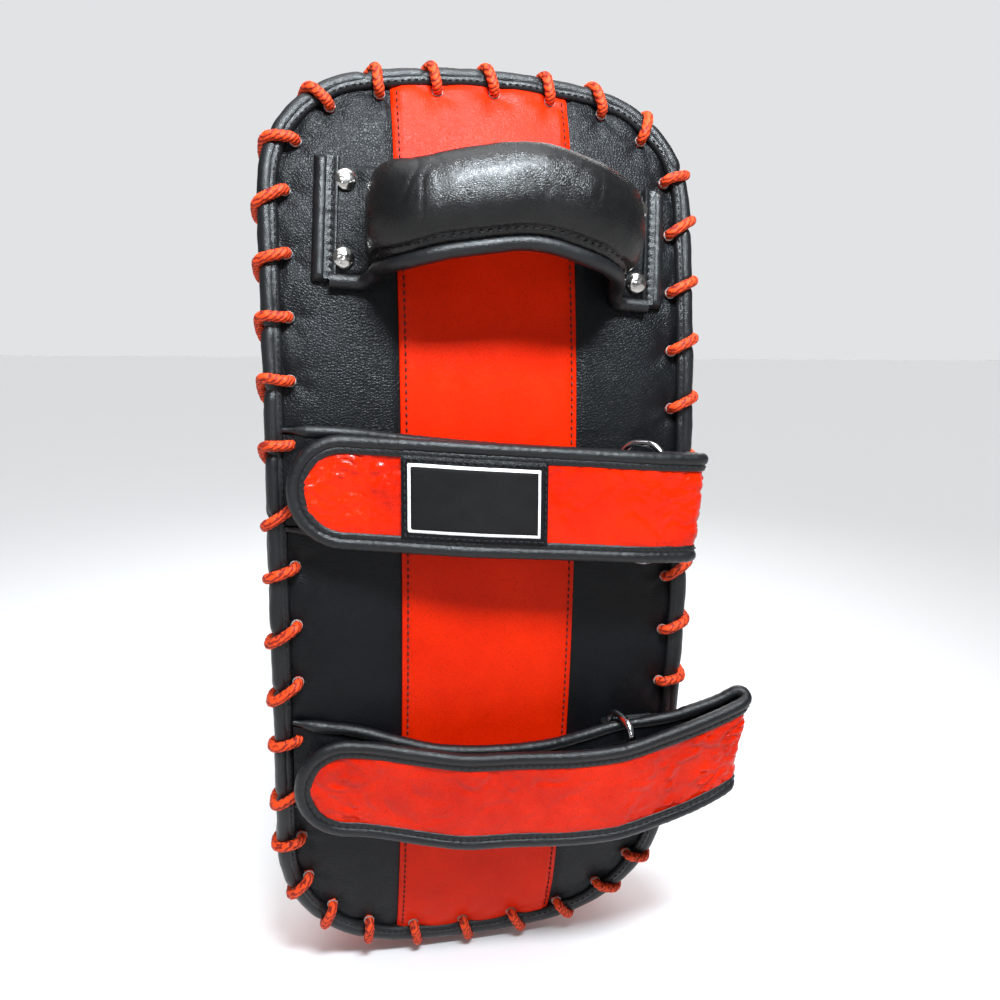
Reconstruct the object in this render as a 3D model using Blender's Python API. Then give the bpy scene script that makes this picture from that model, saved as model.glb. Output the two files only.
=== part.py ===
"""A Thai kick pad: a bent, laced foam pad with a riveted handle and two forearm straps.

Metres, +Z up along the pad, the strike face towards -Y, the handle and the straps towards +Y.
The origin is the middle of the back panel's outer face, where the forearm rests.
Left and right are as the holder sees the back, so left is +X.

The pad is drawn flat first: x across it, s along it from its middle, and d, the depth below the
back panel's outer face towards the strike face. place() then bends that space into world space.
A strap's or the handle's height h above the back is -d.
"""

import math

import bmesh
import bpy
from mathutils import Vector

# Pad
HALF_WIDTH = 0.100
HALF_LENGTH = 0.222
TOP_CORNER = 0.055
BOTTOM_CORNER = 0.070
END_RADIUS = 0.30
BEND_RADIUS = 0.75
FLAT_HALF = 0.015
GUSSET_DEPTH = 0.055
GUSSET_TAPER = 0.035
CROWN_RISE = 0.028
CROWN_WIDTH = 0.032
COVER_SKIN = 0.0018
PANEL_DROP = 0.0006
PANEL_SKIN = 0.0020
STRIPE_HALF = 0.042
DISC_RADIUS = 0.050
DISC_HEIGHT = 0.094
GAP = 0.0003

# Rim
BINDING_RADIUS = 0.0035
BINDING_INSET = 0.0010
BACK_BINDING_DEPTH = 0.0016
GUSSET_BINDING_DEPTH = 0.0089
GUSSET_START = 0.0127
LACE_RADIUS = 0.0021
LACE_TURNS = 42
LACE_START = 0.735
LACE_INSET = 0.0117
LACE_GUSSET_DEPTH = 0.0195
HOLE_HALF = 0.0030

# Foam layers
FOAM_TOP = 0.0066
LAYER_SPLIT = 0.0262
FOAM_RIM_INSET = 0.0170
FOAM_INSET = 0.0026

# Handle
HANDLE_X = -0.0035
HANDLE_S = 0.1452
HANDLE_SLANT = 0.058
HANDLE_TAB_OUT = 0.0747
HANDLE_TAB_IN = 0.0647
HANDLE_TAB_HALF = 0.0245
HANDLE_END_OUT = 0.0820
HANDLE_END_HALF = 0.0282
GRIP_HALF = 0.0210
GRIP_THICK = 0.0135
GRIP_WALL = 0.0013
CORE_HALF_THICK = 0.0011
RIVET_X = 0.0688
RIVET_V = 0.0173
RIVET_HEAD = 0.0048
RIVET_SHANK = 0.0021
RIVET_HOLE = 0.0026
TAB_THICK = 0.0014
END_RISE = 0.0052
BACKING_DEPTH = 0.0029
BACKING_THICK = 0.0012
BACKING_HALF_LONG = 0.0100
BACKING_HALF_TALL = 0.0250
WASHER_DEPTH = 0.0044
WASHER_THICK = 0.0010
HANDLE_HALF_PATH = [
    (0.0747, 0.0014),
    (0.0688, 0.0014),
    (0.0627, 0.0014),
    (0.0578, 0.0038),
    (0.0546, 0.0100),
    (0.0515, 0.0205),
    (0.0456, 0.0315),
    (0.0337, 0.0390),
    (0.0171, 0.0423),
    (0.0000, 0.0430),
]

# Straps
WEB_HALF = 0.0187
WEB_THICK = 0.0030
STRAP_PIPING = 0.0030
PIPING_V = 0.0222
PATCH_HALF = 0.0168
PATCH_THICK = 0.0010
RING_WIRE = 0.0018
RING_SPAN = 0.022
RING_HALF = 0.0278
RING_CORNER = 0.009
TAB_BAR_X = -0.063
TAB_BAR_H = 0.0045
TAB_HALF = 0.0185
TAB_SKIN = 0.0016
LABEL_X = 0.0128
LABEL_HALF_LONG = 0.0325
LABEL_HALF_TALL = 0.0180
# Each path point is its x, its height and how far the strap's middle has climbed along the pad there.
STRAPS = {
    "upper": {
        "s": 0.0256,
        "ring_angle": 47.0,
        "ring_rise": -0.0044,
        "tip": 0.0955,
        "fold": 0.0700,
        "skew": 0.12,
        "base": [
            (0.0830, 0.0034, 0.0085),
            (0.0710, 0.0034, 0.0078),
            (0.0600, 0.0052, 0.0068),
            (0.0450, 0.0105, 0.0048),
            (0.0250, 0.0165, 0.0026),
            (0.0000, 0.0185, 0.0003),
            (-0.0250, 0.0175, -0.0015),
            (-0.0450, 0.0145, -0.0029),
            (-0.0630, 0.0130, -0.0041),
            (-0.0720, 0.0133, -0.0046),
            (-0.0800, 0.0138, -0.0051),
            (-0.0870, 0.0142, -0.0055),
            (-0.0925, 0.0158, -0.0058),
            (-0.0950, 0.0202, -0.0059),
            (-0.0925, 0.0248, -0.0058),
            (-0.0870, 0.0264, -0.0056),
            (-0.0780, 0.0275, -0.0051),
            (-0.0690, 0.0283, -0.0046),
            (-0.0620, 0.0285, -0.0041),
            (-0.0561, 0.0282, -0.0037),
        ],
        "tail": [
            (-0.0556, 0.0282, -0.0037),
            (-0.0350, 0.0268, -0.0023),
            (-0.0100, 0.0260, -0.0007),
            (0.0150, 0.0250, 0.0010),
            (0.0350, 0.0215, 0.0024),
            (0.0550, 0.0165, 0.0035),
            (0.0700, 0.0135, 0.0044),
            (0.0955, 0.0118, 0.0058),
        ],
    },
    "lower": {
        "s": -0.1165,
        "ring_angle": 80.0,
        "ring_rise": 0.0044,
        "tip": 0.0955,
        "fold": 0.0950,
        "skew": 0.10,
        "base": [
            (0.0800, 0.0034, 0.0115),
            (0.0700, 0.0034, 0.0095),
            (0.0590, 0.0052, 0.0072),
            (0.0440, 0.0105, 0.0042),
            (0.0250, 0.0165, 0.0016),
            (0.0000, 0.0185, 0.0000),
            (-0.0250, 0.0175, -0.0004),
            (-0.0450, 0.0145, 0.0010),
            (-0.0630, 0.0135, 0.0042),
            (-0.0780, 0.0158, 0.0066),
            (-0.0950, 0.0185, 0.0104),
            (-0.1110, 0.0212, 0.0170),
            (-0.1200, 0.0232, 0.0224),
            (-0.1225, 0.0268, 0.0217),
            (-0.1200, 0.0303, 0.0200),
            (-0.1110, 0.0320, 0.0168),
            (-0.0950, 0.0335, 0.0120),
            (-0.0780, 0.0346, 0.0080),
            (-0.0668, 0.0346, 0.0050),
            (-0.0561, 0.0334, 0.0022),
        ],
        "tail": [
            (-0.0556, 0.0333, 0.0021),
            (-0.0350, 0.0302, -0.0001),
            (-0.0100, 0.0272, 0.0000),
            (0.0150, 0.0255, 0.0006),
            (0.0350, 0.0215, 0.0028),
            (0.0550, 0.0165, 0.0052),
            (0.0700, 0.0135, 0.0060),
            (0.0955, 0.0118, 0.0070),
        ],
    },
}


# Placing and outlines


def place(x, s, d):
    """A point of the flat drawing in world space: flat in the middle, then bent towards the striker."""
    straight = max(-FLAT_HALF, min(FLAT_HALF, s))
    angle = (s - straight) / BEND_RADIUS
    reach = BEND_RADIUS - d
    return Vector((x, reach * math.cos(angle) - BEND_RADIUS, straight + reach * math.sin(angle)))


def gusset_depth(s):
    return GUSSET_DEPTH + GUSSET_TAPER * s


def end_geometry(corner):
    """The end arc's centre, the corner arc's centre and the angle where they meet, for one end."""
    middle = HALF_LENGTH - END_RADIUS
    across = HALF_WIDTH - corner
    along = middle + math.sqrt((END_RADIUS - corner) ** 2 - across**2)
    return middle, along, math.atan2(across, along - middle)


def end_points(corner, inset, end_steps, corner_steps):
    """One end's quarter outline from x = 0 round to the straight side, for the end at +s."""
    middle, along, meet = end_geometry(corner)
    points = []
    for step in range(end_steps + 1):
        angle = meet * step / end_steps
        radius = END_RADIUS - inset
        points.append((radius * math.sin(angle), middle + radius * math.cos(angle)))
    for step in range(1, corner_steps + 1):
        angle = meet + (math.pi / 2 - meet) * step / corner_steps
        radius = corner - inset
        points.append(
            (HALF_WIDTH - corner + radius * math.sin(angle), along + radius * math.cos(angle))
        )
    return points


def half_outline(inset, end_steps=3, corner_steps=5, side_steps=10):
    """The outline's +X half, from the bottom's middle to the top's middle, offset inwards."""
    bottom = [(x, -s) for x, s in end_points(BOTTOM_CORNER, inset, end_steps, corner_steps)]
    top = end_points(TOP_CORNER, inset, end_steps, corner_steps)
    low, high = bottom[-1], top[-1]
    side = []
    for step in range(1, side_steps):
        share = step / side_steps
        side.append((low[0], low[1] + (high[1] - low[1]) * share))
    return bottom + side + top[::-1]


def full_outline(inset):
    half = half_outline(inset)
    return half + [(-x, s) for x, s in half[-2:0:-1]]


def rim_loop(inset, depth):
    """The outline at one inset as world points; depth is a number or a function of s."""
    deep = depth if callable(depth) else lambda s: depth
    return [place(x, s, deep(s)) for x, s in full_outline(inset)]


class Rim:
    """Points beside the outline, by their share of the way round it."""

    STEPS = (16, 32, 60)

    def __init__(self):
        half = half_outline(0.0, *self.STEPS)
        outline = half + [(-x, s) for x, s in half[-2:0:-1]]
        self.lengths = [0.0]
        for here, there in zip(outline, outline[1:] + outline[:1]):
            self.lengths.append(self.lengths[-1] + math.dist(here, there))
        self.loops = {}

    def loop(self, inset):
        if inset not in self.loops:
            half = half_outline(inset, *self.STEPS)
            self.loops[inset] = half + [(-x, s) for x, s in half[-2:0:-1]]
        return self.loops[inset]

    def at(self, share, inset):
        target = (share % 1.0) * self.lengths[-1]
        index = 0
        while self.lengths[index + 1] < target:
            index += 1
        loop = self.loop(inset)
        part = (target - self.lengths[index]) / (self.lengths[index + 1] - self.lengths[index])
        here, there = loop[index], loop[(index + 1) % len(loop)]
        return (here[0] + (there[0] - here[0]) * part, here[1] + (there[1] - here[1]) * part)


def smooth(points, spacing=0.004):
    """A Catmull-Rom curve through the points, resampled at an even spacing."""
    ends = [points[0]] + list(points) + [points[-1]]
    dense = []
    for a, b, c, d in zip(ends, ends[1:], ends[2:], ends[3:]):
        for step in range(12):
            t = step / 12
            dense.append(
                tuple(
                    0.5
                    * (
                        2 * b[k]
                        + (c[k] - a[k]) * t
                        + (2 * a[k] - 5 * b[k] + 4 * c[k] - d[k]) * t * t
                        + (3 * b[k] - a[k] - 3 * c[k] + d[k]) * t**3
                    )
                    for k in range(len(b))
                )
            )
    dense.append(tuple(points[-1]))
    lengths = [0.0]
    for here, there in zip(dense, dense[1:]):
        lengths.append(lengths[-1] + math.dist(here, there))
    count = max(2, round(lengths[-1] / spacing))
    result = []
    index = 0
    for step in range(count + 1):
        target = lengths[-1] * step / count
        while index < len(dense) - 2 and lengths[index + 1] < target:
            index += 1
        span = lengths[index + 1] - lengths[index]
        part = (target - lengths[index]) / span if span else 0.0
        result.append(
            tuple(
                dense[index][k] + (dense[index + 1][k] - dense[index][k]) * part
                for k in range(len(dense[0]))
            )
        )
    return result


def normals(path):
    """The unit normal at each point of an (x, h) path, on the left of its direction of travel."""
    found = []
    for index in range(len(path)):
        before = path[max(0, index - 1)]
        after = path[min(len(path) - 1, index + 1)]
        run, climb = after[0] - before[0], after[1] - before[1]
        size = math.hypot(run, climb)
        found.append((-climb / size, run / size))
    return found


def at_x(path, x):
    """The point at x of a path that only ever moves one way in x."""
    for here, there in zip(path, path[1:]):
        if min(here[0], there[0]) <= x <= max(here[0], there[0]):
            part = (x - here[0]) / (there[0] - here[0])
            return tuple(a + (b - a) * part for a, b in zip(here, there))
    return min((path[0], path[-1]), key=lambda end: abs(end[0] - x))


# Making objects


def clear_scene():
    for obj in list(bpy.data.objects):
        bpy.data.objects.remove(obj, do_unlink=True)


def material(name, color, roughness, metallic=0.0):
    made = bpy.data.materials.new(name)
    made.use_nodes = True
    shader = made.node_tree.nodes["Principled BSDF"]
    shader.inputs["Base Color"].default_value = (*color, 1.0)
    shader.inputs["Roughness"].default_value = roughness
    shader.inputs["Metallic"].default_value = metallic
    return made


def add_object(name, data, finish):
    obj = bpy.data.objects.new(name, data)
    if finish:
        data.materials.append(finish)
    bpy.context.scene.collection.objects.link(obj)
    return obj


def add_mesh(name, points, faces, finish):
    """A closed mesh with its faces turned outwards and its edges sharp only where they turn."""
    mesh = bpy.data.meshes.new(name)
    mesh.from_pydata(points, [], faces)
    shape = bmesh.new()
    shape.from_mesh(mesh)
    bmesh.ops.recalc_face_normals(shape, faces=shape.faces)
    shape.to_mesh(mesh)
    shape.free()
    mesh.shade_smooth()
    mesh.set_sharp_from_angle(angle=math.radians(40))
    return add_object(name, mesh, finish)


def band_faces(first, second, closed=True):
    """Quads between two equal rows of vertex numbers."""
    count = len(first)
    return [
        (first[i], first[(i + 1) % count], second[(i + 1) % count], second[i])
        for i in range(count if closed else count - 1)
    ]


def loft(name, rings, finish, looped=False):
    """A solid through rings of equal size: capped at both ends, or joined end to end."""
    points = [point for ring in rings for point in ring]
    size = len(rings[0])
    rows = [list(range(k * size, (k + 1) * size)) for k in range(len(rings))]
    faces = []
    for here, there in zip(rows, rows[1:]):
        faces += band_faces(here, there)
    if looped:
        faces += band_faces(rows[-1], rows[0])
    else:
        faces += [tuple(rows[0]), tuple(rows[-1])]
    return add_mesh(name, points, faces, finish)


def loft_shell(name, outer, inner, finish):
    """A sleeve between outer and inner rings, open at both ends."""
    size = len(outer[0])
    points = [point for ring in outer + inner for point in ring]
    rows = [list(range(k * size, (k + 1) * size)) for k in range(len(outer) + len(inner))]
    out_rows, in_rows = rows[: len(outer)], rows[len(outer) :]
    faces = []
    for group in (out_rows, in_rows):
        for here, there in zip(group, group[1:]):
            faces += band_faces(here, there)
    faces += band_faces(out_rows[0], in_rows[0]) + band_faces(out_rows[-1], in_rows[-1])
    return add_mesh(name, points, faces, finish)


def mirror_cap(row):
    """Faces across a whole outline, in strips that stay level in x and so follow the bend."""
    count = len(row)
    faces = [(row[0], row[1], row[-1]), (row[count // 2 - 1], row[count // 2], row[count // 2 + 1])]
    for i in range(1, count // 2 - 1):
        faces.append((row[i], row[i + 1], row[count - i - 1], row[count - i]))
    return faces


def dish(name, loops, finish):
    """A solid through whole outlines, closed across its first and its last."""
    points = [point for loop in loops for point in loop]
    size = len(loops[0])
    rows = [list(range(k * size, (k + 1) * size)) for k in range(len(loops))]
    faces = mirror_cap(rows[0]) + mirror_cap(rows[-1])
    for here, there in zip(rows, rows[1:]):
        faces += band_faces(here, there)
    return add_mesh(name, points, faces, finish)


def row_plate(name, rows, shallow, deep, finish):
    """A plate between two depths, from rows of (s, low x, high x); depths may be functions of s."""
    near = shallow if callable(shallow) else lambda s: shallow
    far = deep if callable(deep) else lambda s: deep
    rings = []
    for s, low, high in rows:
        rings.append(
            [
                place(low, s, near(s)),
                place(high, s, near(s)),
                place(high, s, far(s)),
                place(low, s, far(s)),
            ]
        )
    return loft(name, rings, finish)


def tube(name, points, radius, finish, sides=1, closed=False):
    """A round cord or wire along the points; sides is the curve's bevel resolution."""
    curve = bpy.data.curves.new(name, "CURVE")
    curve.dimensions = "3D"
    curve.bevel_depth = radius
    curve.bevel_resolution = sides
    curve.use_fill_caps = not closed
    spline = curve.splines.new("POLY")
    spline.points.add(len(points) - 1)
    for spot, point in zip(spline.points, points):
        spot.co = (*point, 1.0)
        spot.radius = 1.0
    spline.use_cyclic_u = closed
    spline.use_smooth = True
    return add_object(name, curve, finish)


def prisms(name, rings_pairs):
    """A cutter of separate prisms, each between two rings of points."""
    points, faces = [], []
    for first, second in rings_pairs:
        start = len(points)
        size = len(first)
        points += list(first) + list(second)
        low = list(range(start, start + size))
        high = list(range(start + size, start + 2 * size))
        faces += band_faces(low, high) + [tuple(low), tuple(high)]
    cutter = add_mesh(name, points, faces, None)
    cutter.hide_render = True
    cutter.display_type = "WIRE"
    return cutter


def cut(obj, cutter):
    boolean = obj.modifiers.new("holes", "BOOLEAN")
    boolean.operation = "DIFFERENCE"
    boolean.solver = "EXACT"
    boolean.object = cutter


# The pad


def core_end(s):
    """The depth where the core foam meets the strike foam."""
    return gusset_depth(s) - 0.004


def make_foam(foam):
    """Three bonded layers; the rim's back corner is bevelled to leave room for the cord."""
    dish(
        "back_foam",
        [
            rim_loop(FOAM_RIM_INSET, FOAM_TOP),
            rim_loop(FOAM_RIM_INSET, FOAM_TOP + 0.0034),
            rim_loop(FOAM_INSET + 0.006, LAYER_SPLIT),
        ],
        foam,
    )
    dish(
        "core_foam",
        [rim_loop(FOAM_INSET, LAYER_SPLIT + GAP), rim_loop(FOAM_INSET, core_end)],
        foam,
    )
    loops = [rim_loop(FOAM_INSET, lambda s: core_end(s) + GAP)]
    clear = COVER_SKIN + GAP
    for step in range(5):
        angle = math.pi / 2 * step / 4
        inset = FOAM_INSET + (CROWN_WIDTH - FOAM_INSET) * (1 - math.cos(angle))
        rise = (CROWN_RISE - clear) * math.sin(angle)
        loops.append(rim_loop(inset, lambda s, rise=rise: gusset_depth(s) + rise))
    dish("strike_foam", loops, foam)


def make_strike_cover(leather, white):
    """The face cover, rolled over the foam's edge, with the target disc on its flat middle."""
    loops = []
    for step in range(4, -1, -1):
        angle = math.pi / 2 * step / 4
        inset = COVER_SKIN + (CROWN_WIDTH - COVER_SKIN) * (1 - math.cos(angle))
        rise = (CROWN_RISE - COVER_SKIN) * math.sin(angle)
        loops.append(rim_loop(inset, lambda s, rise=rise: gusset_depth(s) + GAP + rise))
    for step in range(5):
        angle = math.pi / 2 * step / 4
        inset = CROWN_WIDTH * (1 - math.cos(angle))
        rise = (CROWN_RISE) * math.sin(angle)
        loops.append(rim_loop(inset, lambda s, rise=rise: gusset_depth(s) + GAP + rise))
    dish("strike_cover", loops, leather)
    rows = []
    for step in range(25):
        angle = math.pi * (step + 0.5) / 25
        half = DISC_RADIUS * math.sin(angle)
        rows.append((DISC_HEIGHT - DISC_RADIUS * math.cos(angle), -half, half))
    face = lambda s: gusset_depth(s) + CROWN_RISE + 2 * GAP
    row_plate("target_disc", rows, face, lambda s: face(s) + 0.0008, white)


def make_gusset(vinyl, punch):
    """The side band, from its piped edge at the back to the seam with the face cover."""
    outer_back = full_outline(0.0)
    inner_back = full_outline(0.002)
    rings = []
    for (x, s), (x_in, s_in) in zip(outer_back, inner_back):
        rings.append(
            [
                place(x, s, GUSSET_START),
                place(x, s, gusset_depth(s)),
                place(x_in, s_in, gusset_depth(s)),
                place(x_in, s_in, GUSSET_START),
            ]
        )
    cut(loft("gusset_band", rings, vinyl, looped=True), punch)


def end_reach(outline, x):
    """How far the half outline reaches along the pad at x, at its bottom and at its top."""
    return at_x(outline, x)[1], at_x(outline[::-1], x)[1]


def panel_rows(low_x, end_x):
    """Rows of a side panel from the stripe's edge out to the binding, bottom to top."""
    outline = half_outline(BINDING_INSET + BINDING_RADIUS + GAP)
    bottom, top = end_reach(outline, end_x)
    rows = [(bottom, low_x, end_x)]
    rows += [(s, low_x, x) for x, s in outline if x > end_x + 0.002]
    rows.append((top, low_x, end_x))
    return rows


def make_back_panels(leather, vinyl, punch, rivet_punch):
    """Two black side panels and the stripe between them, punched for the cord and the rivets."""
    edge = STRIPE_HALF + GAP
    rows = panel_rows(edge, edge + 0.004)
    sides = {"left": rows, "right": [(s, -high, -low) for s, low, high in rows]}
    for name, found in sides.items():
        panel = row_plate(
            f"back_panel_{name}", found, PANEL_DROP, PANEL_DROP + PANEL_SKIN, leather
        )
        cut(panel, punch)
        cut(panel, rivet_punch)
    outline = half_outline(BINDING_INSET + BINDING_RADIUS + GAP)
    rows = []
    for half in (STRIPE_HALF, STRIPE_HALF / 2):
        bottom, top = end_reach(outline, half)
        rows += [(bottom, -half, half), (top, -half, half)]
    low, high = rows[0][0], rows[1][0]
    rows += [
        (s, -STRIPE_HALF, STRIPE_HALF)
        for _, s in half_outline(0.0)
        if abs(s) > FLAT_HALF + 0.006 and low + 0.004 < s < high - 0.004
    ]
    rows += [(-FLAT_HALF, -STRIPE_HALF, STRIPE_HALF), (FLAT_HALF, -STRIPE_HALF, STRIPE_HALF)]
    stripe = row_plate("back_panel_stripe", sorted(rows), 0.0, PANEL_SKIN, vinyl)
    cut(stripe, punch)


def make_rim(leather):
    tube(
        "rim_binding_back",
        rim_loop(BINDING_INSET, BACK_BINDING_DEPTH),
        BINDING_RADIUS,
        leather,
        closed=True,
    )
    tube(
        "rim_binding_gusset",
        rim_loop(BINDING_INSET, GUSSET_BINDING_DEPTH),
        BINDING_RADIUS,
        leather,
        closed=True,
    )


# One turn of the cord: its share of the turn, its inset and its depth.
LACE_TURN = [
    (0.00, -0.0025, LACE_GUSSET_DEPTH - 0.0006),
    (0.06, -0.0050, 0.0125),
    (0.13, -0.0062, 0.0052),
    (0.20, -0.0050, -0.0018),
    (0.27, 0.0005, -0.0050),
    (0.36, LACE_INSET, -0.0024),
    (0.38, LACE_INSET + 0.0006, 0.0062),
    (0.98, 0.0046, LACE_GUSSET_DEPTH + 0.0006),
]


def lace_holes(across):
    """The share of the way round of each hole in the gusset, or of each in the back panels."""
    return [(turn + across) / LACE_TURNS + LACE_START for turn in range(LACE_TURNS)]


def make_lace_punches(rim):
    """Square punches: one through the back panels at each stitch, and one through the gusset."""
    panel, gusset = [], []
    for share in lace_holes(0.365):
        x, s = rim.at(share, LACE_INSET)
        corners = [(-1, -1), (1, -1), (1, 1), (-1, 1)]
        rings = []
        for depth in (-0.004, 0.006):
            rings.append([place(x + a * HOLE_HALF, s + b * HOLE_HALF, depth) for a, b in corners])
        panel.append(rings)
    for share in lace_holes(0.99):
        step = HOLE_HALF / rim.lengths[-1]
        rings = []
        for inset in (-0.004, 0.006):
            before = rim.at(share - step, inset)
            after = rim.at(share + step, inset)
            low, high = LACE_GUSSET_DEPTH - HOLE_HALF, LACE_GUSSET_DEPTH + HOLE_HALF
            rings.append(
                [place(*before, low), place(*after, low), place(*after, high), place(*before, high)]
            )
        gusset.append(rings)
    return prisms("panel_punch", panel), prisms("gusset_punch", gusset)


def make_lace(rim, cord):
    """The whip stitch that holds the two bound edges together, and the knot that ends it."""
    points = []
    for turn in range(LACE_TURNS):
        for share, inset, depth in LACE_TURN:
            x, s = rim.at((turn + share) / LACE_TURNS + LACE_START, inset)
            points.append(place(x, s, depth))
    tube("edge_lace", points, LACE_RADIUS, cord, sides=0)
    x, s = rim.at(LACE_START - 0.5 / LACE_TURNS, -0.0055)
    rings = []
    for step in range(1, 6):
        angle = math.pi * step / 6
        reach, along = 0.0045 * math.sin(angle), 0.0070 * math.cos(angle)
        rings.append(
            [
                place(
                    x + reach * math.cos(turn * math.pi / 4),
                    s + along,
                    LACE_GUSSET_DEPTH + 0.004 + reach * math.sin(turn * math.pi / 4),
                )
                for turn in range(8)
            ]
        )
    loft("lace_knot", rings, cord)


# The handle


def handle_path():
    half = smooth(HANDLE_HALF_PATH, 0.0058)
    return half + [(-x, h) for x, h in half[-2::-1]]


def grip_thickness(x, h):
    """Half the grip's thickness, which swells from its flat ends."""
    share = max(0.0, min(1.0, (h - 0.005) / 0.022))
    return 0.0040 + (GRIP_THICK - 0.0040) * share * share * (3 - 2 * share)


def core_offset(x, h):
    """How far the core strap lies below the grip's middle, on the side of the fingers."""
    return -0.005 * (grip_thickness(x, h) - 0.0040) / (GRIP_THICK - 0.0040)


def handle_place(x, v, d):
    """A point of the handle's own drawing, which is turned a little on the pad."""
    return place(HANDLE_X + x - HANDLE_SLANT * v, HANDLE_S + v + HANDLE_SLANT * x, d)


def grip_bow(x, h):
    """How far along the pad the raised grip bows away from the line between its ends."""
    share = max(0.0, min(1.0, (h - 0.002) / 0.010))
    upwards = 0.0058 * math.exp(-(((x + 0.0075) / 0.026) ** 2))
    downwards = 0.0026 * math.exp(-(((x - 0.043) / 0.012) ** 2))
    return share * share * (3 - 2 * share) * (upwards - downwards)


def grip_half(x):
    """Half the grip's height, which is less in its middle than at its ends."""
    share = max(0.0, min(1.0, (0.056 - abs(x)) / 0.020))
    return GRIP_HALF - 0.0020 * share * share * (3 - 2 * share)


def handle_point(spot, normal, v, w):
    """A point of the handle's section: v along the pad, w outwards from the path."""
    along = v + grip_bow(*spot)
    return handle_place(spot[0] + normal[0] * w, along, -(spot[1] + normal[1] * w))


def grip_ring(spot, normal, half, thick, low=None):
    """An oval section of the grip, cut off flat at the height low where that is given."""
    start = math.asin(low / thick) if low is not None else 0.0
    steps = 12 if low is None else 8
    span = 2 * math.pi if low is None else math.pi - 2 * start
    count = steps if low is None else steps + 1
    ring = []
    for step in range(count):
        angle = start + span * step / steps
        ring.append(
            handle_point(spot, normal, half * math.cos(angle), thick * math.sin(angle))
        )
    return ring


def make_grip(leather, foam, webbing):
    path = handle_path()
    outwards = [(-a, -b) for a, b in normals(path)]
    stations = list(zip(path, outwards))
    cover = [(spot, normal) for spot, normal in stations if spot[1] > 0.0045]
    outer, inner = [], []
    for spot, normal in cover:
        thick = grip_thickness(*spot)
        half = grip_half(spot[0])
        outer.append(grip_ring(spot, normal, half, thick))
        inner.append(grip_ring(spot, normal, half - GRIP_WALL, thick - GRIP_WALL))
    loft_shell("handle_grip_cover", outer, inner, leather)
    clear = GRIP_WALL + 0.0012
    rings = []
    for spot, normal in stations:
        thick = grip_thickness(*spot) - clear
        low = core_offset(*spot) + CORE_HALF_THICK + 2 * GAP
        if thick > 0.0085:
            rings.append(grip_ring(spot, normal, grip_half(spot[0]) - clear, thick, low))
    loft("handle_grip_foam", rings, foam)
    rings = []
    for spot, normal in stations:
        wide = max(0.0, min(1.0, (abs(spot[0]) - 0.0570) / 0.0035))
        half = 0.0150 + 0.0085 * wide
        middle = core_offset(*spot)
        thin = CORE_HALF_THICK
        rings.append(
            [
                handle_point(spot, normal, v, middle + w)
                for v, w in ((-half, -thin), (half, -thin), (half, thin), (-half, thin))
            ]
        )
    core = loft("handle_core_strap", rings, webbing)
    line = []
    for spot, normal in stations:
        share = max(0.0, min(1.0, (spot[1] - 0.0020) / 0.012))
        edge = HANDLE_TAB_HALF + (grip_half(spot[0]) - HANDLE_TAB_HALF) * share
        lift = 0.0018 * (1 - share)
        line.append(handle_point(spot, normal, -(edge + STRAP_PIPING + GAP), lift))
    tube("handle_grip_piping", line, STRAP_PIPING, leather)
    return core


def rivet_places():
    return [(side * RIVET_X, up * RIVET_V) for side in (1, -1) for up in (1, -1)]


def round_ring(x, v, radius, depth, steps=12):
    """A circle of the handle's drawing at one depth."""
    turns = [2 * math.pi * k / steps for k in range(steps)]
    return [
        handle_place(x + radius * math.cos(turn), v + radius * math.sin(turn), depth)
        for turn in turns
    ]


def make_rivet_punch():
    return prisms(
        "rivet_punch",
        [
            [round_ring(x, v, RIVET_HOLE, depth, steps=8) for depth in (-0.008, 0.0064)]
            for x, v in rivet_places()
        ],
    )


def handle_plate(name, side, low, high, near, far, half, finish):
    """A plate of the handle between two x and two depths, in rows that follow the pad's bend."""
    rings = []
    for step in range(5):
        v = -half + 2 * half * step / 4
        corners = [(low, near), (high, near), (high, far), (low, far)]
        rings.append([handle_place(side * x, v, depth) for x, depth in corners])
    return loft(name, rings, finish)


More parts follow.
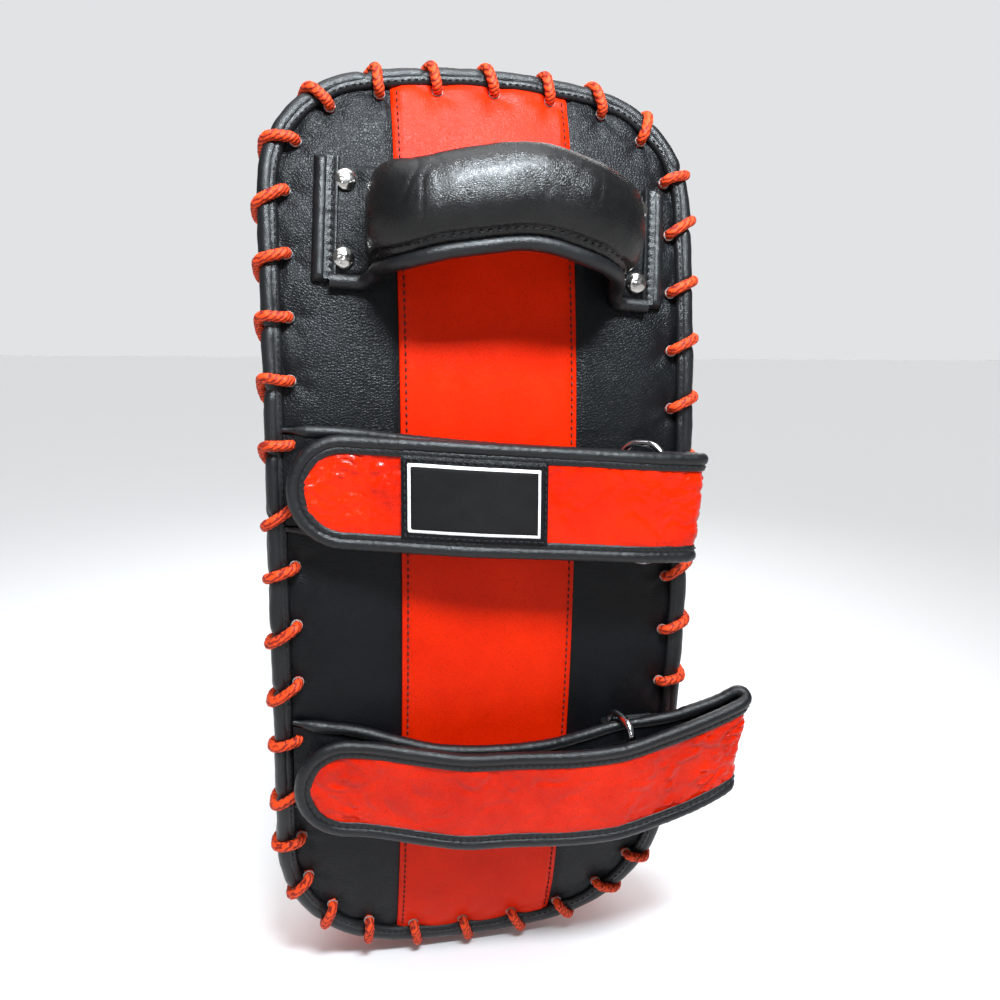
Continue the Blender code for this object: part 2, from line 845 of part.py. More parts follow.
def make_tabs(leather, plastic, nickel, core, punch):
    """What fastens the grip: leather tabs, rolled ends, backing plates, rivets and washers."""
    cut(core, punch)
    tab_bottom = HANDLE_HALF_PATH[0][1] + CORE_HALF_THICK + GAP
    tab_top = tab_bottom + TAB_THICK
    for name, side in (("left", 1), ("right", -1)):
        tab = handle_plate(
            f"handle_tab_{name}",
            side,
            HANDLE_TAB_IN,
            HANDLE_TAB_OUT,
            -tab_top,
            -tab_bottom,
            HANDLE_TAB_HALF,
            leather,
        )
        cut(tab, punch)
        backing = handle_plate(
            f"handle_backing_{name}",
            side,
            RIVET_X - BACKING_HALF_LONG,
            RIVET_X + BACKING_HALF_LONG,
            BACKING_DEPTH,
            BACKING_DEPTH + BACKING_THICK,
            BACKING_HALF_TALL,
            plastic,
        )
        cut(backing, punch)
        rings = []
        width = (HANDLE_END_OUT - HANDLE_TAB_OUT - GAP) / 2
        middle = HANDLE_END_OUT - width
        for step in range(5):
            v = -HANDLE_END_HALF + 2 * HANDLE_END_HALF * step / 4
            ring = []
            for turn in range(9):
                angle = math.pi * turn / 8
                height = END_RISE * math.sin(angle) - 0.0002
                ring.append(handle_place(side * (middle + width * math.cos(angle)), v, -height))
            rings.append(ring)
        loft(f"handle_end_binding_{name}", rings, leather)
    head = -tab_top - GAP
    for index, (x, v) in enumerate(rivet_places(), 1):
        profile = [
            (0.0008, head - 0.0025),
            (0.0028, head - 0.0021),
            (0.0042, head - 0.0011),
            (RIVET_HEAD, head),
            (RIVET_SHANK, head),
            (RIVET_SHANK, WASHER_DEPTH + 0.0016),
        ]
        rings = [round_ring(x, v, radius, depth) for radius, depth in profile]
        loft(f"handle_rivet_{index}", rings, nickel)
        outer, inner = (
            [
                round_ring(x, v, radius, depth)
                for depth in (WASHER_DEPTH, WASHER_DEPTH + WASHER_THICK)
            ]
            for radius in (RIVET_HEAD, RIVET_HOLE)
        )
        loft_shell(f"handle_burr_{index}", outer, inner, nickel)


# The straps


class Strap:
    """One forearm strap's own space: x across the pad, v along it from the strap's middle, height h."""

    def __init__(self, name, spec):
        self.name = name
        self.spec = spec
        self.base = smooth(spec["base"], 0.0075)
        self.tail = smooth(spec["tail"], 0.0095)

    def point(self, spot, normal, v, w):
        """A point of the strap; its fold leans over, so that the top edge reaches further out."""
        lean = min(1.0, max(0.0, (-spot[0] - self.spec["fold"]) / 0.03)) * self.spec["skew"] * v
        x = spot[0] + normal[0] * w - lean
        return place(x, self.spec["s"] + spot[2] + v, -(spot[1] + normal[1] * w))

    def ribbon(self, label, path, outwards, half, low, high, finish):
        """A flat strip between the offsets low and high from the path; half is a function of x."""
        rings = []
        for spot, normal in zip(path, outwards):
            wide = half(spot[0])
            rings.append(
                [
                    self.point(spot, normal, v, w)
                    for v, w in ((-wide, low), (wide, low), (wide, high), (-wide, high))
                ]
            )
        return loft(f"{self.name}_{label}", rings, finish)


def outward_normals(path):
    """Normals that point away from the pad where the path first leaves it."""
    found = normals(path)
    flip = -1 if found[0][1] < 0 else 1
    return [(a * flip, b * flip) for a, b in found]


def make_strap_base(strap, vinyl, leather, fuzz):
    path = strap.base
    inwards = outward_normals(path)
    half = WEB_THICK / 2
    strap.ribbon("strap_base", path, inwards, lambda x: WEB_HALF, -half, half, vinyl)
    for label, v in (("base_binding_top", PIPING_V), ("base_binding_bottom", -PIPING_V)):
        line = [strap.point(spot, normal, v, 0.0) for spot, normal in zip(path, inwards)]
        tube(f"{strap.name}_{label}", line, STRAP_PIPING, leather)
    near, far = -0.030, 0.040
    found = [
        (spot, normal)
        for spot, normal in zip(path, inwards)
        if near < spot[0] < far and spot[1] < 0.024
    ]
    low = half + GAP
    strap.ribbon(
        "loop_patch",
        [spot for spot, _ in found],
        [normal for _, normal in found],
        lambda x: PATCH_HALF,
        low,
        low + PATCH_THICK,
        fuzz,
    )


def make_strap_tail(strap, vinyl, leather, fuzz):
    tip = strap.spec["tip"]
    web_tip = tip - 2 * STRAP_PIPING - GAP
    centre = web_tip - WEB_HALF
    straight = [spot for spot in strap.tail if spot[0] < centre - 0.003]
    rounded = []
    for step in range(7):
        x = centre + WEB_HALF * math.sin(math.pi / 2 * min(step / 6, 0.94))
        rounded.append(at_x(strap.tail, x))
    path = straight + rounded
    outwards = outward_normals(path)

    def half(x):
        if x <= centre:
            return WEB_HALF
        return math.sqrt(max(0.0, WEB_HALF**2 - (x - centre) ** 2))

    thick = WEB_THICK / 2
    strap.ribbon("strap_tail", path, outwards, half, -thick, thick, vinyl)
    line = [strap.point(spot, (0.0, 1.0), PIPING_V, 0.0) for spot in straight]
    for step in range(11):
        angle = math.pi * step / 10
        spot = at_x(strap.tail, centre + PIPING_V * math.sin(angle))
        line.append(strap.point(spot, (0.0, 1.0), PIPING_V * math.cos(angle), 0.0))
    line += [strap.point(spot, (0.0, 1.0), -PIPING_V, 0.0) for spot in straight[::-1]]
    tube(f"{strap.name}_tail_binding", line, STRAP_PIPING, leather)
    found = [
        (spot, normal) for spot, normal in zip(path, outwards) if 0.010 < spot[0] < centre
    ]
    high = -(thick + GAP)
    strap.ribbon(
        "hook_patch",
        [spot for spot, _ in found],
        [normal for _, normal in found],
        lambda x: PATCH_HALF,
        high - PATCH_THICK,
        high,
        fuzz,
    )


def make_ring(strap, chrome, leather):
    """The ring, its fixed bar in the loop of a tab that is sewn down at the pad's right edge."""
    s = strap.spec["s"] + strap.spec["ring_rise"]
    angle = math.radians(strap.spec["ring_angle"])
    along = (-math.cos(angle), math.sin(angle))
    points = []
    for corner_w, corner_v, start in (
        (RING_SPAN - RING_CORNER, RING_HALF - RING_CORNER, 0),
        (RING_CORNER, RING_HALF - RING_CORNER, 1),
        (RING_CORNER, -RING_HALF + RING_CORNER, 2),
        (RING_SPAN - RING_CORNER, -RING_HALF + RING_CORNER, 3),
    ):
        for step in range(5):
            turn = math.pi / 2 * (start + step / 4)
            w = corner_w + RING_CORNER * math.cos(turn)
            v = corner_v + RING_CORNER * math.sin(turn)
            points.append(
                place(TAB_BAR_X + along[0] * w, s + v, -(TAB_BAR_H + along[1] * w))
            )
    tube(f"{strap.name}_ring", points, RING_WIRE, chrome, sides=2, closed=True)
    radius = RING_WIRE + GAP + TAB_SKIN / 2
    line = [(-0.0830, TAB_BAR_H - radius), (-0.0730, TAB_BAR_H - radius)]
    for step in range(9):
        turn = -math.pi / 2 + 1.12 * math.pi * step / 8
        line.append(
            (TAB_BAR_X + radius * math.cos(turn), TAB_BAR_H + radius * math.sin(turn))
        )
    upper = TAB_BAR_H - radius + TAB_SKIN + GAP
    line += [(-0.0690, TAB_BAR_H + 0.0011), (-0.0722, upper + 0.0002), (-0.0830, upper)]
    outwards = normals(line)
    rings = []
    for spot, normal in zip(line, outwards):
        ring = []
        for v, w in ((-1, -1), (1, -1), (1, 1), (-1, 1)):
            x = spot[0] + normal[0] * w * TAB_SKIN / 2
            h = spot[1] + normal[1] * w * TAB_SKIN / 2
            ring.append(place(x, s + v * TAB_HALF, -h))
        rings.append(ring)
    loft(f"{strap.name}_ring_tab", rings, leather)


def make_label(strap, leather, white):
    """The patch sewn on the tail, with a plain border round its blank field."""
    middle, half_long, half_tall = LABEL_X, LABEL_HALF_LONG, LABEL_HALF_TALL
    path = smooth(
        [at_x(strap.tail, middle + half_long * (step / 4 - 1)) for step in range(9)], 0.007
    )
    outwards = outward_normals(path)
    low = WEB_THICK / 2 + GAP
    strap.ribbon("label_patch", path, outwards, lambda x: half_tall, low, low + 0.0011, leather)
    low += 0.0011 + GAP
    edge_long, edge_tall, line = half_long - 0.0024, half_tall - 0.0022, 0.0012
    inner = [spot for spot in path if abs(spot[0] - middle) < edge_long - line - 0.002]
    columns = [at_x(path, middle - edge_long), at_x(path, middle - edge_long + line)]
    columns += inner
    columns += [at_x(path, middle + edge_long - line), at_x(path, middle + edge_long)]
    border = normals(columns)
    points, faces = [], []
    for spot, normal in zip(columns, border):
        for v in (-edge_tall, -edge_tall + line, edge_tall - line, edge_tall):
            for w in (low, low + 0.0005):
                points.append(strap.point(spot, normal, v, w))
    last = len(columns) - 1
    cells = []
    for column in range(last):
        for row in range(3):
            if column in (0, last - 1) or row != 1:
                cells.append((column, row))

    def corner(column, row, top):
        return column * 8 + row * 2 + top

    for column, row in cells:
        for top in (0, 1):
            faces.append(
                tuple(
                    corner(column + a, row + b, top) for a, b in ((0, 0), (1, 0), (1, 1), (0, 1))
                )
            )
        for (a, b), (c, d), (e, f) in (
            ((0, 0), (1, 0), (0, -1)),
            ((1, 0), (1, 1), (1, 0)),
            ((1, 1), (0, 1), (0, 1)),
            ((0, 1), (0, 0), (-1, 0)),
        ):
            if (column + e, row + f) not in cells:
                faces.append(
                    (
                        corner(column + a, row + b, 0),
                        corner(column + c, row + d, 0),
                        corner(column + c, row + d, 1),
                        corner(column + a, row + b, 1),
                    )
                )
    add_mesh(f"{strap.name}_label_border", points, faces, white)


def main():
    clear_scene()
    black = material("black_leather", (0.015, 0.016, 0.018), 0.38)
    piping = material("black_piping", (0.013, 0.013, 0.015), 0.45)
    red = material("red_vinyl", (0.80, 0.055, 0.010), 0.40)
    cord = material("red_cord", (0.62, 0.050, 0.015), 0.80)
    white = material("white_vinyl", (0.90, 0.90, 0.90), 0.45)
    foam = material("grey_foam", (0.18, 0.18, 0.19), 0.95)
    webbing = material("black_webbing", (0.02, 0.02, 0.02), 0.85)
    fuzz = material("black_hook_and_loop", (0.012, 0.012, 0.012), 1.0)
    nickel = material("nickel", (0.78, 0.76, 0.72), 0.22, 1.0)
    chrome = material("chrome", (0.80, 0.80, 0.82), 0.12, 1.0)
    plastic = material("black_plastic", (0.03, 0.03, 0.03), 0.55)
    rim = Rim()
    panel_punch, gusset_punch = make_lace_punches(rim)
    rivet_punch = make_rivet_punch()
    make_foam(foam)
    make_strike_cover(black, white)
    make_gusset(red, gusset_punch)
    make_back_panels(black, red, panel_punch, rivet_punch)
    make_rim(piping)
    make_lace(rim, cord)
    core = make_grip(black, foam, webbing)
    make_tabs(black, plastic, nickel, core, rivet_punch)
    for name, spec in STRAPS.items():
        strap = Strap(name, spec)
        make_strap_base(strap, red, piping, fuzz)
        make_strap_tail(strap, red, piping, fuzz)
        make_ring(strap, chrome, piping)
        if name == "upper":
            make_label(strap, black, white)


main()
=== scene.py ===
"""The looks of the Thai kick pad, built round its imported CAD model.

Metres, in the CAD model's frame: +Z up along the pad, the back towards +Y, the strike face towards -Y.
As in the CAD model, x runs across the pad, s along it and d down from its back; place() bends that
drawing into the frame. A height above the back is -d.
"""

import math

import bmesh
import bpy
from mathutils import Matrix, Vector, noise
from mathutils.bvhtree import BVHTree


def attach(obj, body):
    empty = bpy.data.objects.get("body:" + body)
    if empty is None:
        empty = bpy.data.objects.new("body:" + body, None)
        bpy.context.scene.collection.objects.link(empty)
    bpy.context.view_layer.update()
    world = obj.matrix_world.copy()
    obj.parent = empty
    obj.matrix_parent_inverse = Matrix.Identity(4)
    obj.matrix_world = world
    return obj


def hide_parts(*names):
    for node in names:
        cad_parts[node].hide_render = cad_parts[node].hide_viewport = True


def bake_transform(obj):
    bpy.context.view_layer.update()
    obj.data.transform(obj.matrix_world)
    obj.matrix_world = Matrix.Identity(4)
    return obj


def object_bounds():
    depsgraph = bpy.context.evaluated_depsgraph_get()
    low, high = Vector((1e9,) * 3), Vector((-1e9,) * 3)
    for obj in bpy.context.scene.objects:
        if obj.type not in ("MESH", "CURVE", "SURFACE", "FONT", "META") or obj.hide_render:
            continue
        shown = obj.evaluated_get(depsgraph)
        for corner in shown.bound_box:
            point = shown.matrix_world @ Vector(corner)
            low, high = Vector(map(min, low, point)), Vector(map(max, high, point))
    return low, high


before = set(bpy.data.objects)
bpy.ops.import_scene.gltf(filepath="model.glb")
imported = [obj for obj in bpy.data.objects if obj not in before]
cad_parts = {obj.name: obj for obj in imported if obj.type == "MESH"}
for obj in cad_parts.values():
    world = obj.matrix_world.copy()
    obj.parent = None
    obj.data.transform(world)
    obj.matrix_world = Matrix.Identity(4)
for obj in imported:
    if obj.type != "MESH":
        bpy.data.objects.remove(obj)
CAD_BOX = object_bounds()

# Blender seeds its vector noise from the clock, so a fixed seed keeps the creases the same each run
noise.seed_set(1)

# The pad's sides, as the signs of their x
SIDES = {"left": 1, "right": -1}

# Driving dimensions: the CAD model's own, except where a comment gives its value
HALF_WIDTH = 0.100
HALF_LENGTH = 0.222
TOP_CORNER = 0.055
BOTTOM_CORNER = 0.070
END_RADIUS = 0.30
END_MIDDLE = HALF_LENGTH - END_RADIUS
BEND_RADIUS = 0.75
FLAT_HALF = 0.015
GUSSET_DEPTH = 0.055
GUSSET_TAPER = 0.035
GUSSET_START = 0.0127
GUSSET_PITCH = 0.0046
CROWN_RISE = 0.028
CROWN_WIDTH = 0.032
STRIPE_HALF = 0.042
DISC_RADIUS = 0.050
DISC_HEIGHT = 0.094
DISC_SEAM_INSET = 0.0042
BINDING_RADIUS = 0.0035
BINDING_INSET = 0.0010
BACK_BINDING_DEPTH = 0.0016
GUSSET_BINDING_DEPTH = 0.0089
PANEL_INSET = 0.0040
LACE_RADIUS = 0.0024  # 0.0021 in the CAD model
LACE_STEP = 0.0006
BRAID_PITCH = 0.0066
LACE_TURNS = 42
LACE_START = 0.735
LACE_GUSSET_DEPTH = 0.0162  # 0.0195 in the CAD model
HANDLE_X = -0.0035
HANDLE_S = 0.1452
HANDLE_SLANT = 0.058
HANDLE_TAB_HALF = 0.0245
HANDLE_END_OUT = 0.0820
HANDLE_END_HALF = 0.0282
HANDLE_FLANGE_OUT = 0.0762
GRIP_HALF = 0.0210
GRIP_THICK = 0.0135
GRIP_SEAM = 0.86
GRIP_STEP = 0.0030
WELT_STEP = 0.0012
RIVET_X = 0.0688
RIVET_V = 0.0173
TAB_PITCH = 0.0034
RIVET_HEAD = 0.0050  # 0.0048 in the CAD model
HANDLE_HALF_PATH = [
    (0.0747, 0.0014), (0.0688, 0.0014), (0.0627, 0.0014), (0.0578, 0.0038), (0.0546, 0.0100),
    (0.0515, 0.0205), (0.0456, 0.0315), (0.0337, 0.0390), (0.0171, 0.0423), (0.0000, 0.0430),
]
WEB_HALF = 0.0202  # 0.0187 in the CAD model
WEB_THICK = 0.0030
STRAP_STEP = 0.0012
DENT_LIMIT = 0.0015
STRAP_PIPING = 0.0030
PIPING_V = 0.0222
LIP_V = 0.0188
LIP_RISE = 0.0012
RING_WIRE = 0.0018
RING_SPAN = 0.022
RING_HALF = 0.0278
RING_CORNER = 0.009
TAB_BAR_X = -0.063
TAB_BAR_H = 0.0045
TAB_HALF = 0.0185
TAB_SKIN = 0.0016
PILE_HALF = 0.0168
LABEL_X = 0.0128
LABEL_HALF_LONG = 0.0325
LABEL_HALF_TALL = 0.0180
STRAPS = {
    "upper": {
        "s": 0.0256,
        "ring_angle": 47.0,
        "ring_rise": -0.0044,
        "tip": 0.0955,
        "fold": 0.0700,
        "skew": 0.12,
        "split": -0.0840,
        "bend": -0.0900,
        "base": [
            (0.0945, 0.0010, 0.0092), (0.0830, 0.0034, 0.0085), (0.0710, 0.0034, 0.0078),
            (0.0600, 0.0052, 0.0068), (0.0450, 0.0105, 0.0048), (0.0250, 0.0165, 0.0026),
            (0.0000, 0.0185, 0.0003), (-0.0250, 0.0175, -0.0015), (-0.0450, 0.0145, -0.0029),
            (-0.0630, 0.0130, -0.0041), (-0.0720, 0.0133, -0.0046), (-0.0800, 0.0138, -0.0051),
            (-0.0870, 0.0142, -0.0055), (-0.0925, 0.0158, -0.0058), (-0.0950, 0.0202, -0.0059),
            (-0.0925, 0.0248, -0.0058), (-0.0870, 0.0264, -0.0056), (-0.0780, 0.0275, -0.0051),
            (-0.0690, 0.0283, -0.0046), (-0.0620, 0.0285, -0.0041), (-0.0561, 0.0282, -0.0037),
        ],
        "tail": [
            (-0.0556, 0.0282, -0.0037), (-0.0350, 0.0268, -0.0023), (-0.0100, 0.0260, -0.0007),
            (0.0150, 0.0250, 0.0010), (0.0350, 0.0215, 0.0024), (0.0550, 0.0165, 0.0035),
            (0.0700, 0.0135, 0.0044), (0.0955, 0.0118, 0.0058),
        ],
    },
    "lower": {
        "s": -0.1165,
        "ring_angle": 80.0,
        "ring_rise": 0.0044,
        "tip": 0.0955,
        "fold": 0.0950,
        "skew": 0.10,
        "split": -0.1080,
        "bend": -0.0850,
        "base": [
            (0.0935, 0.0010, 0.0140), (0.0800, 0.0034, 0.0115), (0.0700, 0.0034, 0.0095),
            (0.0590, 0.0052, 0.0072), (0.0440, 0.0105, 0.0042), (0.0250, 0.0165, 0.0016),
            (0.0000, 0.0185, 0.0000), (-0.0250, 0.0175, -0.0004), (-0.0450, 0.0145, 0.0010),
            (-0.0630, 0.0135, 0.0042), (-0.0780, 0.0158, 0.0066), (-0.0950, 0.0185, 0.0104),
            (-0.1110, 0.0212, 0.0170), (-0.1200, 0.0232, 0.0224), (-0.1225, 0.0268, 0.0217),
            (-0.1200, 0.0303, 0.0200), (-0.1110, 0.0320, 0.0168), (-0.0950, 0.0335, 0.0120),
            (-0.0780, 0.0346, 0.0080), (-0.0668, 0.0346, 0.0050), (-0.0561, 0.0334, 0.0022),
        ],
        "tail": [
            (-0.0556, 0.0333, 0.0021), (-0.0350, 0.0302, -0.0001), (-0.0100, 0.0272, 0.0000),
            (0.0150, 0.0255, 0.0006), (0.0350, 0.0215, 0.0028), (0.0550, 0.0165, 0.0052),
            (0.0700, 0.0135, 0.0060), (0.0955, 0.0118, 0.0070),
        ],
    },
}


# The small step that finds which way is up beside a line of stitches
UP_STEP = 0.001


# Placing, outlines and curves


def place(x, s, d):
    """A point of the flat drawing in the frame: flat in the middle, then bent towards the striker."""
    straight = max(-FLAT_HALF, min(FLAT_HALF, s))
    angle = (s - straight) / BEND_RADIUS
    reach = BEND_RADIUS - d
    return Vector((x, reach * math.cos(angle) - BEND_RADIUS, straight + reach * math.sin(angle)))


def unplace(point):
    """The x, s and d of a point of the frame."""
    s = max(-FLAT_HALF, min(FLAT_HALF, point.z))
    angle = math.atan2(point.z - s, point.y + BEND_RADIUS)
    reach = math.hypot(point.z - s, point.y + BEND_RADIUS)
    return point.x, s + angle * BEND_RADIUS, BEND_RADIUS - reach


def gusset_depth(s):
    """How far down from the back the side band's front seam is."""
    return GUSSET_DEPTH + GUSSET_TAPER * s


def handle_place(x, v, d):
    """A point of the handle's own drawing, which is a little askew on the pad, in the frame."""
    return place(HANDLE_X + x - HANDLE_SLANT * v, HANDLE_S + v + HANDLE_SLANT * x, d)


def mix(low, high, share):
    """The value that is a share of the way from low to high."""
    return low + (high - low) * share


def ease(value, low=0.0, high=1.0):
    """A smooth step of value from 0 at low to 1 at high."""
    share = max(0.0, min(1.0, (value - low) / (high - low)))
    return share * share * (3 - 2 * share)


def corner_arc(corner):
    """A corner's centre, across and along, and the angle at which the end's arc meets it."""
    across = HALF_WIDTH - corner
    along = END_MIDDLE + math.sqrt((END_RADIUS - corner) ** 2 - across**2)
    return across, along, math.atan2(across, along - END_MIDDLE)


def half_outline(inset, end_steps, corner_steps, side_steps):
    """The outline's +X half, from the bottom's middle to the top's middle, offset inwards."""

    def end(corner):
        across, along, meet = corner_arc(corner)
        points = []
        for step in range(end_steps + 1):
            angle = meet * step / end_steps
            reach = END_RADIUS - inset
            points.append((reach * math.sin(angle), END_MIDDLE + reach * math.cos(angle)))
        for step in range(1, corner_steps + 1):
            angle = mix(meet, math.pi / 2, step / corner_steps)
            reach = corner - inset
            points.append((across + reach * math.sin(angle), along + reach * math.cos(angle)))
        return points

    bottom = [(x, -s) for x, s in end(BOTTOM_CORNER)]
    top = end(TOP_CORNER)
    low, high = bottom[-1][1], top[-1][1]
    side = [(bottom[-1][0], mix(low, high, step / side_steps)) for step in range(1, side_steps)]
    return bottom + side + top[::-1]


class Rim:
    """Points beside the outline, by their share of the way round it from the bottom's middle."""

    STEPS = (24, 48, 120)

    def __init__(self):
        outline = self.loop(0.0)
        self.lengths = [0.0]
        for here, there in zip(outline, outline[1:] + outline[:1]):
            self.lengths.append(self.lengths[-1] + math.dist(here, there))
        self.length = self.lengths[-1]
        self.loops = {}

    def loop(self, inset):
        """The outline offset inwards, the whole way round from the bottom's middle."""
        half = half_outline(inset, *self.STEPS)
        return half + [(-x, s) for x, s in half[-2:0:-1]]

    def at(self, share, inset):
        """The x and s at a share of the way round, offset inwards from the outline."""
        key = round(inset, 5)
        if key not in self.loops:
            self.loops[key] = self.loop(inset)
        loop = self.loops[key]
        target = (share % 1.0) * self.length
        low, high = 0, len(loop)
        while high - low > 1:
            middle = (low + high) // 2
            if self.lengths[middle] <= target:
                low = middle
            else:
                high = middle
        part = (target - self.lengths[low]) / (self.lengths[low + 1] - self.lengths[low])
        here, there = loop[low], loop[(low + 1) % len(loop)]
        return mix(here[0], there[0], part), mix(here[1], there[1], part)


RIM = Rim()


def rim_place(share, inset, depth):
    """A point beside the outline in the frame."""
    return place(*RIM.at(share, inset), depth)


def smooth(points, spacing=0.004):
    """A Catmull-Rom curve through the points, resampled at an even spacing."""
    ends = [points[0]] + list(points) + [points[-1]]
    size = len(points[0])
    dense = []
    for a, b, c, d in zip(ends, ends[1:], ends[2:], ends[3:]):
        for step in range(12):
            t = step / 12
            spot = []
            for k in range(size):
                slope = (c[k] - a[k]) * t
                bend = (2 * a[k] - 5 * b[k] + 4 * c[k] - d[k]) * t * t
                twist = (3 * b[k] - a[k] - 3 * c[k] + d[k]) * t**3
                spot.append(0.5 * (2 * b[k] + slope + bend + twist))
            dense.append(tuple(spot))
    dense.append(tuple(points[-1]))
    lengths = [0.0]
    for here, there in zip(dense, dense[1:]):
        lengths.append(lengths[-1] + math.dist(here, there))
    count = max(2, round(lengths[-1] / spacing))
    result = []
    index = 0
    for step in range(count + 1):
        target = lengths[-1] * step / count
        while index < len(dense) - 2 and lengths[index + 1] < target:
            index += 1
        span = lengths[index + 1] - lengths[index]
        part = (target - lengths[index]) / span if span else 0.0
        result.append(tuple(mix(dense[index][k], dense[index + 1][k], part) for k in range(size)))
    return result


def normals(path):
    """The unit normal at each point of an (x, h) path, on the left of its direction of travel."""
    found = []
    for index in range(len(path)):
        before = path[max(0, index - 1)]
        after = path[min(len(path) - 1, index + 1)]
        run, climb = after[0] - before[0], after[1] - before[1]
        size = math.hypot(run, climb)
        found.append((-climb / size, run / size))
    return found


def at_x(path, x):
    """The point at x of a path that only ever moves one way in x."""
    for here, there in zip(path, path[1:]):
        if min(here[0], there[0]) <= x <= max(here[0], there[0]):
            part = (x - here[0]) / (there[0] - here[0])
            return tuple(mix(a, b, part) for a, b in zip(here, there))
    return min((path[0], path[-1]), key=lambda end: abs(end[0] - x))


def bumps(point, size, depth=2):
    """Even noise between about -1 and 1, with lumps of the given size."""
    return noise.fractal(Vector(point) / size, 1.0, 2.0, depth)


def creases(point, size):
    """0 on open cloth, rising to 1 along thin random lines that are about size apart."""
    spot = Vector(point) / size
    spot = spot + 0.6 * noise.noise_vector(spot * 0.7)
    return max(0.0, 1.0 - 4.5 * abs(noise.noise(spot)))


# Making meshes


def add_object(name, data):
    """An object in the scene."""
    obj = bpy.data.objects.new(name, data)
    bpy.context.scene.collection.objects.link(obj)
    return obj


def add_mesh(name, points, faces, finish, sharp=50):
    """A smooth shaded object, with edges over the sharp angle, in degrees, left sharp."""
    mesh = bpy.data.meshes.new(name)
    mesh.from_pydata([tuple(p) for p in points], [], faces)
    shape = bmesh.new()
    shape.from_mesh(mesh)
    bmesh.ops.recalc_face_normals(shape, faces=shape.faces)
    shape.to_mesh(mesh)
    shape.free()
    mesh.shade_smooth()
    mesh.set_sharp_from_angle(angle=math.radians(sharp))
    if finish:
        mesh.materials.append(finish)
    return add_object(name, mesh)


def band(first, second, closed):
    """The faces between two rows of points; closed joins the rows' ends."""
    count = len(first)
    return [
        (first[i], first[(i + 1) % count], second[(i + 1) % count], second[i])
        for i in range(count if closed else count - 1)
    ]


def grid(rows, closed):
    """The faces between each row of points and the next."""
    return [face for here, there in zip(rows, rows[1:]) for face in band(here, there, closed)]


def slab(name, top, bottom, finish):
    """A closed shell between two grids of equal rows."""
    size = len(top[0])
    over = [list(range(k * size, (k + 1) * size)) for k in range(len(top))]
    under = [[len(top) * size + i for i in row] for row in over]
    faces = grid(over, False) + grid(under, False)
    faces += band(over[0], under[0], False) + band(over[-1], under[-1], False)
    for side in (0, -1):
        faces += band([row[side] for row in over], [row[side] for row in under], False)
    return add_mesh(name, [p for row in top + bottom for p in row], faces, finish)


def rings_mesh(name, groups, finish, looped=False, sharp=50):
    """Tubes through rings of points, each group capped at both ends or joined end to end."""
    points, faces = [], []
    for rings in groups:
        size = len(rings[0])
        start = len(points)
        points += [p for ring in rings for p in ring]
        rows = [list(range(start + k * size, start + (k + 1) * size)) for k in range(len(rings))]
        faces += grid(rows, True)
        faces += band(rows[-1], rows[0], True) if looped else [tuple(rows[0]), tuple(rows[-1])]
    return add_mesh(name, points, faces, finish, sharp)


def there_and_back(columns, half):
    """Across a flat ring's upper side and back along its lower one: the side, 1 or -1, and v."""
    for layer in (1, -1):
        for column in range(columns + 1):
            yield layer, layer * (2 * column / columns - 1) * half


def radius_at(radius, index, angle):
    """A tube's radius, which is one number, a list with one for each point, or a function."""
    if callable(radius):
        return radius(index, angle)
    return radius[index] if isinstance(radius, list) else radius


def sweep(points, radius, sides=12, looped=False, flat=1.0, ups=None):
    """Rings round a line of points, turned by ups or else with as little twist as they can have."""
    points = [Vector(p) for p in points]
    count = len(points)
    rings = []
    normal = None
    for index, point in enumerate(points):
        if looped:
            along = points[(index + 1) % count] - points[index - 1]
        else:
            along = points[min(index + 1, count - 1)] - points[max(index - 1, 0)]
        along.normalize()
        side = along.cross(ups[index] if ups else normal or Vector((0.31, 0.87, 0.38)))
        side.normalize()
        normal = side.cross(along)
        ring = []
        for k in range(sides):
            angle = 2 * math.pi * k / sides
            reach = radius_at(radius, index, angle)
            outer = point + side * math.cos(angle) * reach
            ring.append(outer + normal * math.sin(angle) * reach * flat)
        rings.append(ring)
    return rings


def resample(points, spacing):
    """Points at an even spacing along a line of points."""
    return [Vector(p) for p in smooth([tuple(p) for p in points], spacing)]


def stitches(name, line, ups, finish, pitch=0.0042, radius=0.00042, sink=0.3, closed=False):
    """A row of thread stitches along a line; ups are the surface's directions at its points."""
    share = 0.62
    if closed:
        line, ups = line + line[:1], ups + ups[:1]
    lengths = [0.0]
    for here, there in zip(line, line[1:]):
        lengths.append(lengths[-1] + (Vector(there) - Vector(here)).length)
    count = max(1, int(lengths[-1] / pitch))
    groups = []
    index = 0
    steps = 6

    def spot(target):
        nonlocal index
        while index < len(lengths) - 2 and lengths[index + 1] < target:
            index += 1
        part = (target - lengths[index]) / max(1e-9, lengths[index + 1] - lengths[index])
        here = Vector(line[index]).lerp(Vector(line[index + 1]), part)
        return here, Vector(ups[index]).lerp(Vector(ups[index + 1]), part).normalized()

    for number in range(count):
        start = lengths[-1] * (number + (1 - share) / 2) / count
        run = lengths[-1] * share / count
        points, rises, lifts = [], [], []
        for step in range(steps + 1):
            here, up = spot(start + run * step / steps)
            arch = math.sin(math.pi * step / steps)
            points.append(here + up * radius * (arch * 1.5 - sink))
            rises.append(radius * (0.55 + 0.45 * arch))
            lifts.append(up)
        groups.append(sweep(points, rises, 6, ups=lifts))
    return rings_mesh(name, groups, finish, sharp=80)


def keep(obj, body, nodes=()):
    """Rides a piece on a body, and hides the CAD nodes that it stands for."""
    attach(obj, body)
    if nodes:
        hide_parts(*nodes)
    return obj


# Materials


def link(tree, source, socket):
    """Feeds a (node, output) pair into a socket."""
    tree.links.new(source[0].outputs[source[1]], socket)


